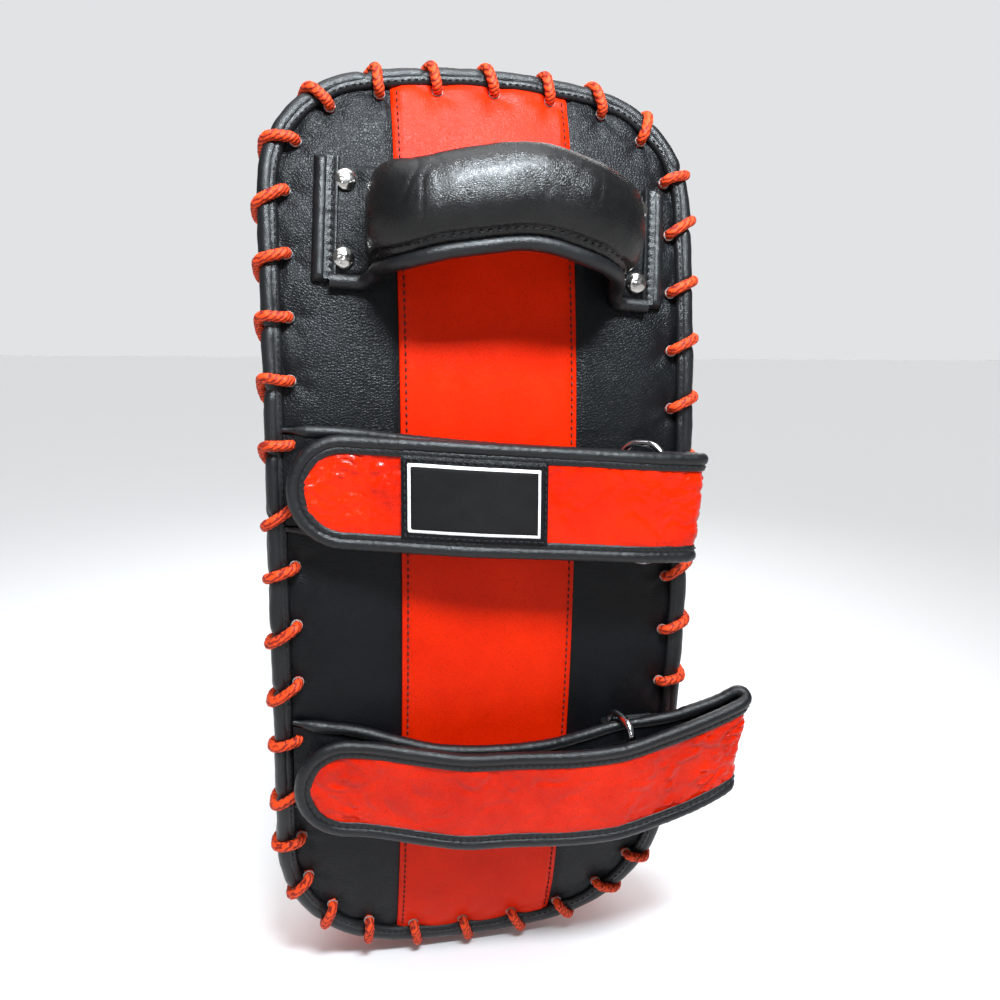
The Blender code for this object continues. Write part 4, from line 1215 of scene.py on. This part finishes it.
def crease_grip(grip):
    """Draws the grip's folds, its soft unevenness and the groove of its seam into its outer side."""
    stations = handle_stations(GRIP_STEP)
    moved = []
    for vertex in grip.data.vertices:
        x, v, h = handle_unplace(vertex.co)
        centre, out = min(
            stations, key=lambda station: (station[0][0] - x) ** 2 + (station[0][1] - h) ** 2
        )
        w = (x - centre[0]) * out[0] + (h - centre[1]) * out[1]
        upper = ease(w / grip_thickness(centre[1]), -0.9, 0.2)
        shoulder = math.exp(-(((abs(x) - 0.043) / 0.016) ** 2))
        across = creases((x, v * 0.5, h * 0.6), 0.012)
        fine = creases((x * 1.2, v * 0.8, h + 0.4), 0.0060)
        sink = (0.00020 * across * (0.5 + shoulder) + 0.00007 * fine) * upper
        sink += 0.0005 * bumps((x, v, h), 0.030)
        groove = v - grip_bow(*centre) + grip_half(x) * GRIP_SEAM
        sink += 0.0009 * math.exp(-((groove / 0.0011) ** 2)) * upper
        moved.append(vertex.co - vertex.normal * sink)
    for vertex, spot in zip(grip.data.vertices, moved):
        vertex.co = spot


def make_grip():
    """The padded grip: a blown leather sleeve with folds where it bends."""
    rings = []
    for spot, normal in handle_stations(GRIP_STEP):
        if spot[1] < 0.0032:
            continue
        thick = grip_thickness(spot[1])
        half = grip_half(spot[0]) + 0.0025 * (1 - ease(spot[1], 0.003, 0.012))
        ring = []
        for k in range(40):
            turn = 2 * math.pi * k / 40
            v = half * math.copysign(abs(math.cos(turn)) ** 0.86, math.cos(turn))
            w = thick * math.copysign(abs(math.sin(turn)) ** 0.92, math.sin(turn))
            ring.append(handle_point(spot, normal, v, w))
        rings.append(ring)
    grip = rings_mesh("grip_cover", [rings], GRIP)
    bake(grip, "REMESH", mode="VOXEL", voxel_size=0.0022)
    bake(grip, "SMOOTH", factor=0.5, iterations=6)
    settle(grip, near_tabs, pressure=3.0, cap=0.0014)
    bake(grip, "SUBSURF", levels=1)
    crease_grip(grip)
    grip.data.shade_smooth()
    keep(grip, "root", ["handle_grip_cover", "handle_grip_foam"])
    return grip


def make_grip_edge(grip):
    """The welt along the grip's lower edge, and the stitches beside it on the finished leather."""
    line, sizes, seam, ups = [], [], [], []
    tree = BVHTree.FromObject(grip, bpy.context.evaluated_depsgraph_get())
    for index, (spot, normal) in enumerate(handle_stations(WELT_STEP)):
        share = max(0.0, min(1.0, (spot[1] - 0.0020) / 0.012))
        edge = mix(HANDLE_TAB_HALF, grip_half(spot[0]), share)
        lift = 0.0018 * (1 - share)
        snug = 0.0014 * ease(share, 0.2, 1.0)
        line.append(handle_point(spot, normal, -(edge + 0.0030 - snug), lift + 0.0015 * share))
        sizes.append(0.0034 * (1 + 0.04 * bumps((index * WELT_STEP, 0.4, 0.2), 0.007)))
        if spot[1] > 0.006:
            v = -grip_half(spot[0]) * GRIP_SEAM
            outside = handle_point(spot, normal, v, 0.030)
            inside = handle_point(spot, normal, v, 0.0)
            hit = tree.ray_cast(outside, (inside - outside).normalized())[0]
            if hit:
                seam.append(hit)
                ups.append(outside - inside)
    welt = rings_mesh("grip_welt", [sweep(line, sizes, 16)], PIPING)
    keep(welt, "root", ["handle_grip_piping"])
    keep(stitches("grip_stitching", seam, ups, BLACK_THREAD, 0.0038), "root")


def make_tab(name, side):
    """The grip's soft leather end, drawn down round its two rivets."""
    over, under = [], []
    for row in range(49):
        v = mix(-HANDLE_TAB_HALF, HANDLE_TAB_HALF, row / 48)
        edge = ease(HANDLE_TAB_HALF - abs(v), 0.0, 0.0022)
        top, bottom = [], []
        for column in range(25):
            x = mix(0.0555, 0.0762, column / 24)
            height = 0.0030 + 0.0013 * edge + 0.0010 * ease(x, 0.064, 0.0565)
            for rivet in (1, -1):
                away = math.hypot(x - RIVET_X, v - rivet * RIVET_V)
                height -= 0.0008 * math.exp(-(((away - RIVET_HEAD) / 0.0022) ** 2))
            height += 0.0004 * bumps((side * x, v, 6.0), 0.009)
            top.append(handle_place(side * x, v, -height))
            bottom.append(handle_place(side * x, v, -0.0006))
        over.append(top)
        under.append(bottom)
    tab = slab(f"grip_tab_{name}", over, under, BLACK)
    keep(tab, "root", [f"handle_tab_{name}"])


def make_tab_lip(name, side):
    """The stitched flat edge of the binding at the grip's end, nipped at each stitch."""
    sections = []
    for row in range(121):
        v = mix(-HANDLE_END_HALF + 0.0012, HANDLE_END_HALF - 0.0012, row / 120)
        nip = 0.00025 * math.cos(2 * math.pi * v / TAB_PITCH)
        lump = 0.0003 * bumps((side * 0.07, v, 5.0), 0.006)
        crest = [(0.0716, 0.0046), (0.0722, 0.0056), (0.0730, 0.0056), (0.0737, 0.0049)]
        crest += [(0.0745, 0.0046 + nip), (0.0755, 0.0049), (0.0772, 0.0051)]
        crest = [(x, height + lump) for x, height in crest]
        profile = [(0.0719, 0.0006), *crest, (0.0780, 0.0006)]
        sections.append([handle_place(side * x, v, -height) for x, height in profile])
    lip = rings_mesh(f"grip_end_lip_{name}", [sections], PIPING)
    keep(lip, "root")


def make_tab_roll(name, side):
    """The rolled binding at the grip's end, and the stitches along its flat edge."""
    sections, line, ups = [], [], []
    middle = (HANDLE_FLANGE_OUT + HANDLE_END_OUT) / 2
    width = (HANDLE_END_OUT - HANDLE_FLANGE_OUT) / 2
    for row in range(121):
        v = mix(-HANDLE_END_HALF, HANDLE_END_HALF, row / 120)
        end = math.sqrt(max(0.0, 1 - ease(abs(v), HANDLE_END_HALF - 0.004, HANDLE_END_HALF) ** 2))
        end = 0.35 + 0.65 * end
        lump = 0.0003 * bumps((side * 0.08, v, 2.0), 0.007)
        section = []
        for turn in range(21):
            angle = math.pi * turn / 20
            height = (0.0054 + lump) * end * math.sin(angle) ** 0.8
            reach = (width + 0.0006 + 0.5 * lump) * math.cos(angle)
            if turn > 10:
                height = max(height, 0.0040 * end * ease(turn, 20, 18))
            section.append(handle_place(side * (middle + reach), v, -height))
        section.append(handle_place(side * (middle - width), v, 0.0005))
        section.append(handle_place(side * (middle + width), v, 0.0005))
        sections.append(section)
        line.append(handle_place(side * 0.0745, v, -0.0047))
        ups.append(handle_place(side * 0.0745, v, -0.0060) - line[-1])
    rolled = rings_mesh(f"grip_end_roll_{name}", [sections], PIPING)
    keep(rolled, "root", [f"handle_end_binding_{name}"])
    seam = stitches(f"grip_end_stitching_{name}", line[4:-4], ups[4:-4], BLACK_THREAD, TAB_PITCH)
    keep(seam, "root")


def make_rivet(number, side, up):
    """A domed rivet head with small dents."""

    def circle(radius, height, dented):
        points = []
        for k in range(40):
            turn = 2 * math.pi * k / 40
            x = side * RIVET_X + radius * math.cos(turn)
            v = up * RIVET_V + radius * math.sin(turn)
            dent = 0.00016 * bumps((x, v, number * 1.3), 0.0022)
            points.append(handle_place(x, v, -(height + dent * dented)))
        return points

    rings = []
    for ring in range(15):
        share = ring / 14
        radius = RIVET_HEAD * math.sin(math.pi / 2 * share) if share else 0.0002
        height = 0.0044 + 0.0026 * math.cos(math.pi / 2 * share)
        rings.append(circle(radius, height, 1 - share**4))
    rings.append(circle(RIVET_HEAD - 0.0002, 0.0034, 0.0))
    head = rings_mesh(f"rivet_head_{number}", [rings], NICKEL, sharp=70)
    keep(head, "root", [f"handle_rivet_{number}"])


# The forearm straps


class Strap:
    """One strap's own space: x across the pad, v along it from the strap's middle, height h."""

    def __init__(self, name):
        self.name = name
        self.spec = STRAPS[name]
        base, tail = self.spec["base"], self.spec["tail"]
        fold = max(i for i, spot in enumerate(base) if spot[1] < base[-1][1] - 0.011)
        lower = [spot for spot in base[: fold + 1] if spot[0] > self.spec["split"] - 0.012]
        self.inner = smooth(lower, STRAP_STEP)
        start = max(i for i, spot in enumerate(base[: fold + 1]) if spot[0] > self.spec["split"])
        self.outer = smooth(base[start:-1] + tail, STRAP_STEP)
        self.tail = smooth(tail, STRAP_STEP)

    def point(self, spot, normal, v, w):
        """A point of the strap; its fold leans over, so that the top edge reaches further out."""
        folded = min(1.0, max(0.0, (-spot[0] - self.spec["fold"]) / 0.03))
        x = spot[0] + normal[0] * w - folded * self.spec["skew"] * v
        return place(x, self.spec["s"] + spot[2] + v, -(spot[1] + normal[1] * w))

    def face(self, label, path, outwards, half, seed, amount, finish, under):
        """A creased strip: half is its half width at each x, under the finish of its other side."""
        rings = []
        columns = 44
        bend = self.spec["bend"]
        for index, (spot, normal) in enumerate(zip(path, outwards)):
            wide = half(spot[0])
            run = index * STRAP_STEP
            bent = max(ease(spot[0], 0.045, 0.075), ease(spot[0], bend + 0.03, bend))
            ring = []
            for layer, v in there_and_back(columns, wide):
                edge = ease(wide - abs(v), 0.0, 0.0060)
                fine = creases((run * 0.9, v * 0.8, seed), 0.0105)
                small = creases((run * 0.8, v * 1.1, seed + 7), 0.0052)
                swell = bumps((run, v, seed + 3), 0.024)
                patch = noise.noise(Vector((run * 22, v * 12, seed)))
                busy = (0.30 + 0.70 * ease(patch, -0.25, 0.30)) * (1.0 + 0.9 * bent)
                dent = amount * busy * edge * (fine + (0.45 + 0.4 * bent) * small)
                rise = 0.0009 * edge - DENT_LIMIT * math.tanh(dent / DENT_LIMIT)
                rise += 0.0005 * swell * (0.3 + 0.7 * edge)
                shift = layer * (WEB_THICK / 2 - 0.0006) + (rise if layer > 0 else -0.3 * rise)
                ring.append(self.point(spot, normal, v, shift * sewn_down(spot)))
            rings.append(ring)
        made = rings_mesh(f"{self.name}_{label}", [rings], finish)
        made.data.materials.append(under)
        size = 2 * (columns + 1)
        for polygon in made.data.polygons:
            if all(corner % size > columns for corner in polygon.vertices):
                polygon.material_index = 1
        return made


def sewn_down(spot):
    """How much of its thickness a strap keeps at a point: less where the rim's binding holds it."""
    return mix(0.45, 1.0, ease(spot[0], 0.0930, 0.0830)) if spot[1] < 0.006 else 1.0


def tube_sizes(count, seed):
    """Radii for a piped edge that is nipped a little at each stitch."""
    sizes = []
    for index in range(count):
        run = index * STRAP_STEP
        nip = 0.5 + 0.5 * math.cos(2 * math.pi * run / 0.0042)
        sizes.append(STRAP_PIPING * (1.02 - 0.05 * nip + 0.05 * bumps((run, seed, 0.0), 0.008)))
    return sizes


def strap_lip(name, line, ups, seed):
    """The flat edge of a strap's binding, inside its piping, drawn down at each stitch."""
    lengths = [0.0]
    for here, there in zip(line, line[1:]):
        lengths.append(lengths[-1] + (there - here).length)
    sizes = []
    for run in lengths:
        nip = 0.5 + 0.5 * math.cos(2 * math.pi * run / 0.0034)
        sizes.append(0.00175 + 0.00016 * bumps((run, seed, 4.0), 0.005) + 0.00014 * nip)
    rings = sweep(line, sizes, 12, flat=0.42, ups=[up.normalized() for up in ups])
    return rings_mesh(name, [rings], PIPING)


def make_inner_strap(strap, seed):
    """The layer against the pad, from its sewn end to the fold, with its two piped edges."""
    name, inner = strap.name, strap.inner
    outwards = outward_normals(inner)
    sewn = sum(1 for spot in inner if spot[0] > 0.052 and spot[1] < 0.012)
    rest, end = slice(sewn, None), slice(sewn + 2)
    face = strap.face(
        "inner_face", inner[rest], outwards[rest], lambda x: WEB_HALF, seed, 0.0005, BLACK, STRAP_RED
    )
    keep(face, "root", [f"{name}_strap_base"])
    end = strap.face(
        "sewn_end", inner[end], outwards[end], lambda x: WEB_HALF, seed, 0.0004, BLACK, BLACK
    )
    keep(end, "root")
    groups = []
    for side in (1, -1):
        line = [strap.point(spot, out, side * PIPING_V, 0.0) for spot, out in zip(inner, outwards)]
        sizes = []
        for size, spot in zip(tube_sizes(len(line), seed + side), inner):
            worn = 0.94 - 0.14 * math.exp(-(((spot[0] + 0.070) / 0.009) ** 2))
            sizes.append(size * worn * sewn_down(spot))
        groups.append(sweep(line, sizes, 14))
    piping = rings_mesh(f"{name}_inner_piping", groups, PIPING)
    keep(piping, "root", [f"{name}_base_binding_top", f"{name}_base_binding_bottom"])


def make_strap(name, seed):
    """One strap with its fastener and ring, and its outer layer with a round tip."""
    strap = Strap(name)
    make_inner_strap(strap, seed)
    centre = strap.spec["tip"] - 2 * STRAP_PIPING - 0.0003 - WEB_HALF
    outer = strap.outer
    cut = max(i for i, spot in enumerate(outer) if spot[0] < centre + WEB_HALF * 0.985)
    outer = outer[: cut + 1]
    outwards = normals(outer)
    middle = len(outer) // 2
    tip_half = {}
    for index in range(middle + 1, len(outer)):
        x = outer[index][0]
        if x > centre:
            tip_half[round(x, 6)] = math.sqrt(max(0.0, WEB_HALF**2 - (x - centre) ** 2))
    face = strap.face(
        "outer_face",
        outer,
        outwards,
        lambda x: tip_half.get(round(x, 6), WEB_HALF),
        seed + 20,
        0.0014,
        STRAP_RED,
        BLACK,
    )
    straight = [i for i, spot in enumerate(outer) if spot[0] < centre or i < middle]
    end_normal = outwards[straight[-1]]

    def round_the_edge(v, rise):
        """Along the strap at v from its middle, round its tip and back."""
        line = [strap.point(outer[i], outwards[i], v, rise) for i in straight]
        for step in range(1, 60):
            angle = math.pi * step / 60
            spot = at_x(strap.tail, centre + v * math.sin(angle))
            line.append(strap.point(spot, end_normal, v * math.cos(angle), rise))
        return line + [strap.point(outer[i], outwards[i], -v, rise) for i in straight[::-1]]

    line = round_the_edge(PIPING_V, 0.0)
    sizes = tube_sizes(len(line), seed + 5)
    piping = rings_mesh(f"{name}_outer_piping", [sweep(line, sizes, 14)], PIPING)
    line = round_the_edge(LIP_V, LIP_RISE)
    ups = [above - spot for spot, above in zip(line, round_the_edge(LIP_V, LIP_RISE + UP_STEP))]
    lip = strap_lip(f"{name}_outer_lip", line, ups, seed)
    seam = stitches(f"{name}_outer_stitching", line, ups, BLACK_THREAD, 0.0034, sink=-0.6)
    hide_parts(f"{name}_strap_tail")
    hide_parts(f"{name}_tail_binding")
    for obj in (face, piping, lip, seam):
        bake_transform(obj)
    make_patches(strap, seed)
    make_ring(strap)
    return strap


def outward_normals(path):
    """Normals that point away from the pad where the path first leaves it."""
    found = normals(path)
    flip = -1 if found[0][1] < 0 else 1
    return [(a * flip, b * flip) for a, b in found]


def pile_patch(strap, label, path, low, high, body, node, seed):
    """A patch of pile whose upper side is rough; low and high are its offsets from the path."""
    rings = []
    sign = 1 if high > low else -1
    for index, (spot, normal) in enumerate(zip(path, outward_normals(path))):
        ring = []
        for layer, v in there_and_back(32, PILE_HALF):
            rough = 0.00022 * bumps((index * STRAP_STEP, v, seed), 0.0014, 3)
            corner = 0.0004 * (1 - ease(PILE_HALF - abs(v), 0.0, 0.0012))
            shift = high + sign * (rough - corner) if layer > 0 else low
            ring.append(strap.point(spot, normal, v, shift))
        rings.append(ring)
    patch = rings_mesh(f"{strap.name}_{label}", [rings], PILE)
    keep(patch, body, [node])


def make_patches(strap, seed):
    """The loop pile on the strap's base and the hook pile under its tail."""
    name = strap.name
    low = WEB_THICK / 2 - 0.0004
    high = low + 0.0012
    near = [spot for spot in strap.inner if -0.030 < spot[0] < 0.040]
    pile_patch(strap, "loop_pile", near, low, high, "root", f"{name}_loop_patch", seed)
    centre = strap.spec["tip"] - 2 * STRAP_PIPING - WEB_HALF
    near = [spot for spot in strap.tail if 0.010 < spot[0] < centre]
    pile_patch(
        strap, "hook_pile", near, -low, -high, f"{name}_tail", f"{name}_hook_patch", seed + 40
    )


def make_ring(strap):
    """The chrome ring and the folded, piped tab that holds its fixed bar."""
    name = strap.name
    s = strap.spec["s"] + strap.spec["ring_rise"]
    angle = math.radians(strap.spec["ring_angle"])
    along = (-math.cos(angle), math.sin(angle))
    corners = []
    for corner_w, corner_v, start in (
        (RING_SPAN - RING_CORNER, RING_HALF - RING_CORNER, 0),
        (RING_CORNER, RING_HALF - RING_CORNER, 1),
        (RING_CORNER, -RING_HALF + RING_CORNER, 2),
        (RING_SPAN - RING_CORNER, -RING_HALF + RING_CORNER, 3),
    ):
        for step in range(13):
            turn = math.pi / 2 * (start + step / 12)
            w = corner_w + RING_CORNER * math.cos(turn)
            corners.append((w, corner_v + RING_CORNER * math.sin(turn)))
    points = []
    for here, there in zip(corners, corners[1:] + corners[:1]):
        steps = max(1, round(math.dist(here, there) / 0.0016))
        for step in range(steps):
            w, v = (mix(here[k], there[k], step / steps) for k in (0, 1))
            points.append(place(TAB_BAR_X + along[0] * w, s + v, -(TAB_BAR_H + along[1] * w)))
    wire = sweep(points, RING_WIRE, 20, looped=True)
    ring = rings_mesh(f"{name}_chrome_ring", [wire], CHROME, looped=True)
    keep(ring, f"{name}_ring", [f"{name}_ring"])
    radius = RING_WIRE + 0.0003 + TAB_SKIN / 2
    line = [(-0.0930, 0.0002), (-0.0830, TAB_BAR_H - radius), (-0.0730, TAB_BAR_H - radius)]
    for step in range(19):
        turn = -math.pi / 2 + 1.12 * math.pi * step / 18
        line.append((TAB_BAR_X + radius * math.cos(turn), TAB_BAR_H + radius * math.sin(turn)))
    upper = TAB_BAR_H - radius + TAB_SKIN + 0.0003
    line += [(-0.0690, TAB_BAR_H + 0.0011), (-0.0722, upper + 0.0002)]
    line += [(-0.0830, upper), (-0.0930, 0.0014)]
    path = smooth(line, 0.0008)
    sections = []
    for index, (spot, normal) in enumerate(zip(path, normals(path))):
        section = []
        for layer, v in there_and_back(22, TAB_HALF):
            corner = 0.0004 * (1 - ease(TAB_HALF - abs(v), 0.0, 0.0014))
            lump = 0.00015 * bumps((index * 0.0008, v, 3.0), 0.005)
            w = layer * (TAB_SKIN / 2 - corner + lump)
            section.append(place(spot[0] + normal[0] * w, s + v, -(spot[1] + normal[1] * w)))
        sections.append(section)
    tab = rings_mesh(f"{name}_ring_loop", [sections], BLACK)
    keep(tab, "root", [f"{name}_ring_tab"])
    groups = []
    for side in (1, -1):
        edge = [place(x, s + side * (TAB_HALF + 0.0009), -h) for x, h in path[8:-4]]
        groups.append(sweep(edge, 0.0013, 12))
    keep(rings_mesh(f"{name}_ring_loop_piping", groups, PIPING), "root")


def make_label(strap):
    """The sewn patch on the upper tail: a stitched leather edge round a plain bordered field."""
    low = WEB_THICK / 2 + 0.0001
    path = [spot for spot in strap.tail if abs(spot[0] - LABEL_X) < LABEL_HALF_LONG]
    outwards = outward_normals(path)

    def wave(x, v):
        """The label's slow waves, which its layers and its stitches share."""
        return 0.0005 * bumps((x, v, 21.0), 0.018)

    def sheet(name, long_inset, tall_inset, base, thick, finish):
        """One layer of the label; base is its lower side's height over the tail's middle."""
        long_half, tall_half = LABEL_HALF_LONG - long_inset, LABEL_HALF_TALL - tall_inset
        rings = []
        for spot, normal in zip(path, outwards):
            if abs(spot[0] - LABEL_X) >= long_half:
                continue
            end = ease(long_half - abs(spot[0] - LABEL_X), -0.0004, 0.0014)
            ring = []
            for layer, v in there_and_back(40, tall_half):
                edge = min(end, ease(tall_half - abs(v), -0.0004, 0.0014))
                top = base + thick * (0.4 + 0.6 * edge) + 0.0003 * edge + wave(spot[0], v)
                ring.append(strap.point(spot, normal, v, top if layer > 0 else base - 0.0004))
            rings.append(ring)
        return keep(rings_mesh(f"{strap.name}_{name}", [rings], finish), f"{strap.name}_tail")

    patch = sheet("label_leather", 0.0, 0.0, low, 0.0012, BLACK)
    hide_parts(f"{strap.name}_label_patch")
    border = sheet("label_edge", 0.0030, 0.0028, low + 0.0009, 0.0007, WHITE)
    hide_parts(f"{strap.name}_label_border")
    field_base = low + 0.0013
    sheet("label_plain_field", 0.0042, 0.0040, field_base, 0.0006, LABEL_FIELD)
    line, ups = [], []
    inset = 0.0015
    long_half, tall_half = LABEL_HALF_LONG - inset, LABEL_HALF_TALL - inset
    corners = [(-1, -1), (1, -1), (1, 1), (-1, 1), (-1, -1)]
    for (a, b), (c, d) in zip(corners, corners[1:]):
        for step in range(60):
            x = LABEL_X + long_half * mix(a, c, step / 60)
            v = tall_half * mix(b, d, step / 60)
            spot = at_x(strap.tail, x)
            height = low + 0.0015 + wave(x, v)
            line.append(strap.point(spot, (0.0, 1.0), v, height))
            ups.append(strap.point(spot, (0.0, 1.0), v, height + UP_STEP) - line[-1])
    name = f"{strap.name}_label_stitching"
    seam = stitches(name, line, ups, BLACK_THREAD, 0.0032, radius=0.00036, closed=True)
    keep(seam, f"{strap.name}_tail")


# The hidden CAD nodes keep their shape and get the same materials


def finish_hidden_nodes():
    """Gives the nodes that no piece stands for their finishes."""
    finishes = {"handle_core_strap": WEBBING}
    finishes.update({f"handle_backing_{side}": PLASTIC for side in SIDES})
    finishes.update({f"handle_burr_{number}": NICKEL for number in range(1, 5)})
    for name, finish in finishes.items():
        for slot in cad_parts[name].material_slots:
            slot.material = finish


make_lace()
make_knot()
make_bindings()
make_binding_lip()
for name, side in SIDES.items():
    make_side_panel(name, side)
make_stripe()
make_gusset()
make_disc(make_cover())
make_grip_edge(make_grip())
for name, side in SIDES.items():
    make_tab(name, side)
    make_tab_lip(name, side)
    make_tab_roll(name, side)
corners = [(side, up) for side in (1, -1) for up in (1, -1)]
for number, (side, up) in enumerate(corners, 1):
    make_rivet(number, side, up)
make_label(make_strap("upper", 3.0))
make_strap("lower", 9.0)
finish_hidden_nodes()


# The floor, the lights and the camera

ROOM_LIGHT = 0.13
BACKGROUND_LIGHT = 0.80
CEILING_LIGHT = 3.1


def make_stage():
    """A pale floor under the pad, and a pale room with a brighter ceiling."""
    low = CAD_BOX[0][2] - 0.0004
    reach = 40.0
    floor = bpy.data.meshes.new("floor")
    corners = [(-reach, -reach, low), (reach, -reach, low), (reach, reach, low), (-reach, reach, low)]
    floor.from_pydata(corners, [], [(0, 1, 2, 3)])
    finish, tree, shader, spot = new_finish("pale floor", (0.92, 0.92, 0.92), Specular_IOR_Level=0.1)
    shader.inputs["Roughness"].default_value = 0.9
    floor.materials.append(finish)
    add_object("floor", floor)
    world = bpy.data.worlds.new("pale room")
    world.use_nodes = True
    tree = world.node_tree
    sky = tree.nodes["Background"]
    sky.inputs["Color"].default_value = (0.95, 0.96, 0.98, 1.0)
    path = tree.nodes.new("ShaderNodeLightPath")
    strength = level(tree, (path, "Is Camera Ray"), 0.0, 1.0, ROOM_LIGHT, BACKGROUND_LIGHT)
    spot = tree.nodes.new("ShaderNodeTexCoord")
    parts = add_node(tree, "ShaderNodeSeparateXYZ", Vector=(spot, "Generated"))
    ceiling = level(tree, (parts, "Z"), 0.80, 0.97, 0.0, CEILING_LIGHT)
    total = tree.nodes.new("ShaderNodeMath")
    link(tree, strength, total.inputs[0])
    link(tree, ceiling, total.inputs[1])
    tree.links.new(total.outputs[0], sky.inputs["Strength"])
    bpy.context.scene.world = world


def make_light(name, spot, target, size, power, tall=None, spread=180, tint=(1.0, 1.0, 1.0)):
    """A rectangular light at spot that faces target."""
    light = bpy.data.lights.new(name, "AREA")
    light.shape = "RECTANGLE"
    light.size = size
    light.size_y = tall or size
    light.energy = power
    light.color = tint
    light.spread = math.radians(spread)
    obj = add_object(name, light)
    obj.location = spot
    obj.rotation_euler = (Vector(target) - Vector(spot)).to_track_quat("-Z", "Y").to_euler()


def make_sun(away, power, spread):
    """A wide soft light from far away, which lights the floor evenly."""
    light = bpy.data.lights.new("sky light", "SUN")
    light.energy = power
    light.angle = math.radians(spread)
    obj = add_object("sky light", light)
    obj.rotation_euler = (-Vector(away)).to_track_quat("-Z", "Y").to_euler()


def make_camera():
    """A camera that looks square on to the pad's back, from a little above."""
    turn, rise, roll = (math.radians(a) for a in (167.07, 9.46, 0.39))
    distance = 0.42
    target = Vector((0.0077, 0.0, 0.0231))
    level_reach = math.cos(rise)
    back = Vector((math.sin(turn) * level_reach, -math.cos(turn) * level_reach, math.sin(rise)))
    right = Vector((math.cos(turn), math.sin(turn), 0.0))
    up = back.cross(right)
    rolled = right * math.cos(roll) + up * math.sin(roll)
    above = back.cross(rolled)
    camera = bpy.data.cameras.new("camera")
    camera.sensor_width = 36.0
    camera.lens = 36.0 * 0.8955
    camera.shift_x = 0.026
    camera.clip_start = 0.01
    camera.dof.use_dof = False
    obj = add_object("camera", camera)
    rows = [(rolled[k], above[k], back[k], target[k] + back[k] * distance) for k in range(3)]
    obj.matrix_world = Matrix((*rows, (0.0, 0.0, 0.0, 1.0)))
    bpy.context.scene.camera = obj


make_stage()
make_sun((0.40, 0.80, 0.95), 0.16, 24)
make_light("key", (0.40, 1.15, 0.42), (0.0, 0.0, 0.06), 0.22, 0.9)
make_light(
    "top", (-0.03, 0.46, 0.60), (0.0, 0.03, 0.20), 0.34, 2.4, 0.14, spread=70, tint=(0.86, 0.94, 1.0)
)
make_light("front", (-0.6, -1.5, 0.9), (0.0, -0.05, 0.0), 1.0, 2.4, spread=70)
make_camera()
bpy.context.scene.view_settings.view_transform = "Standard"
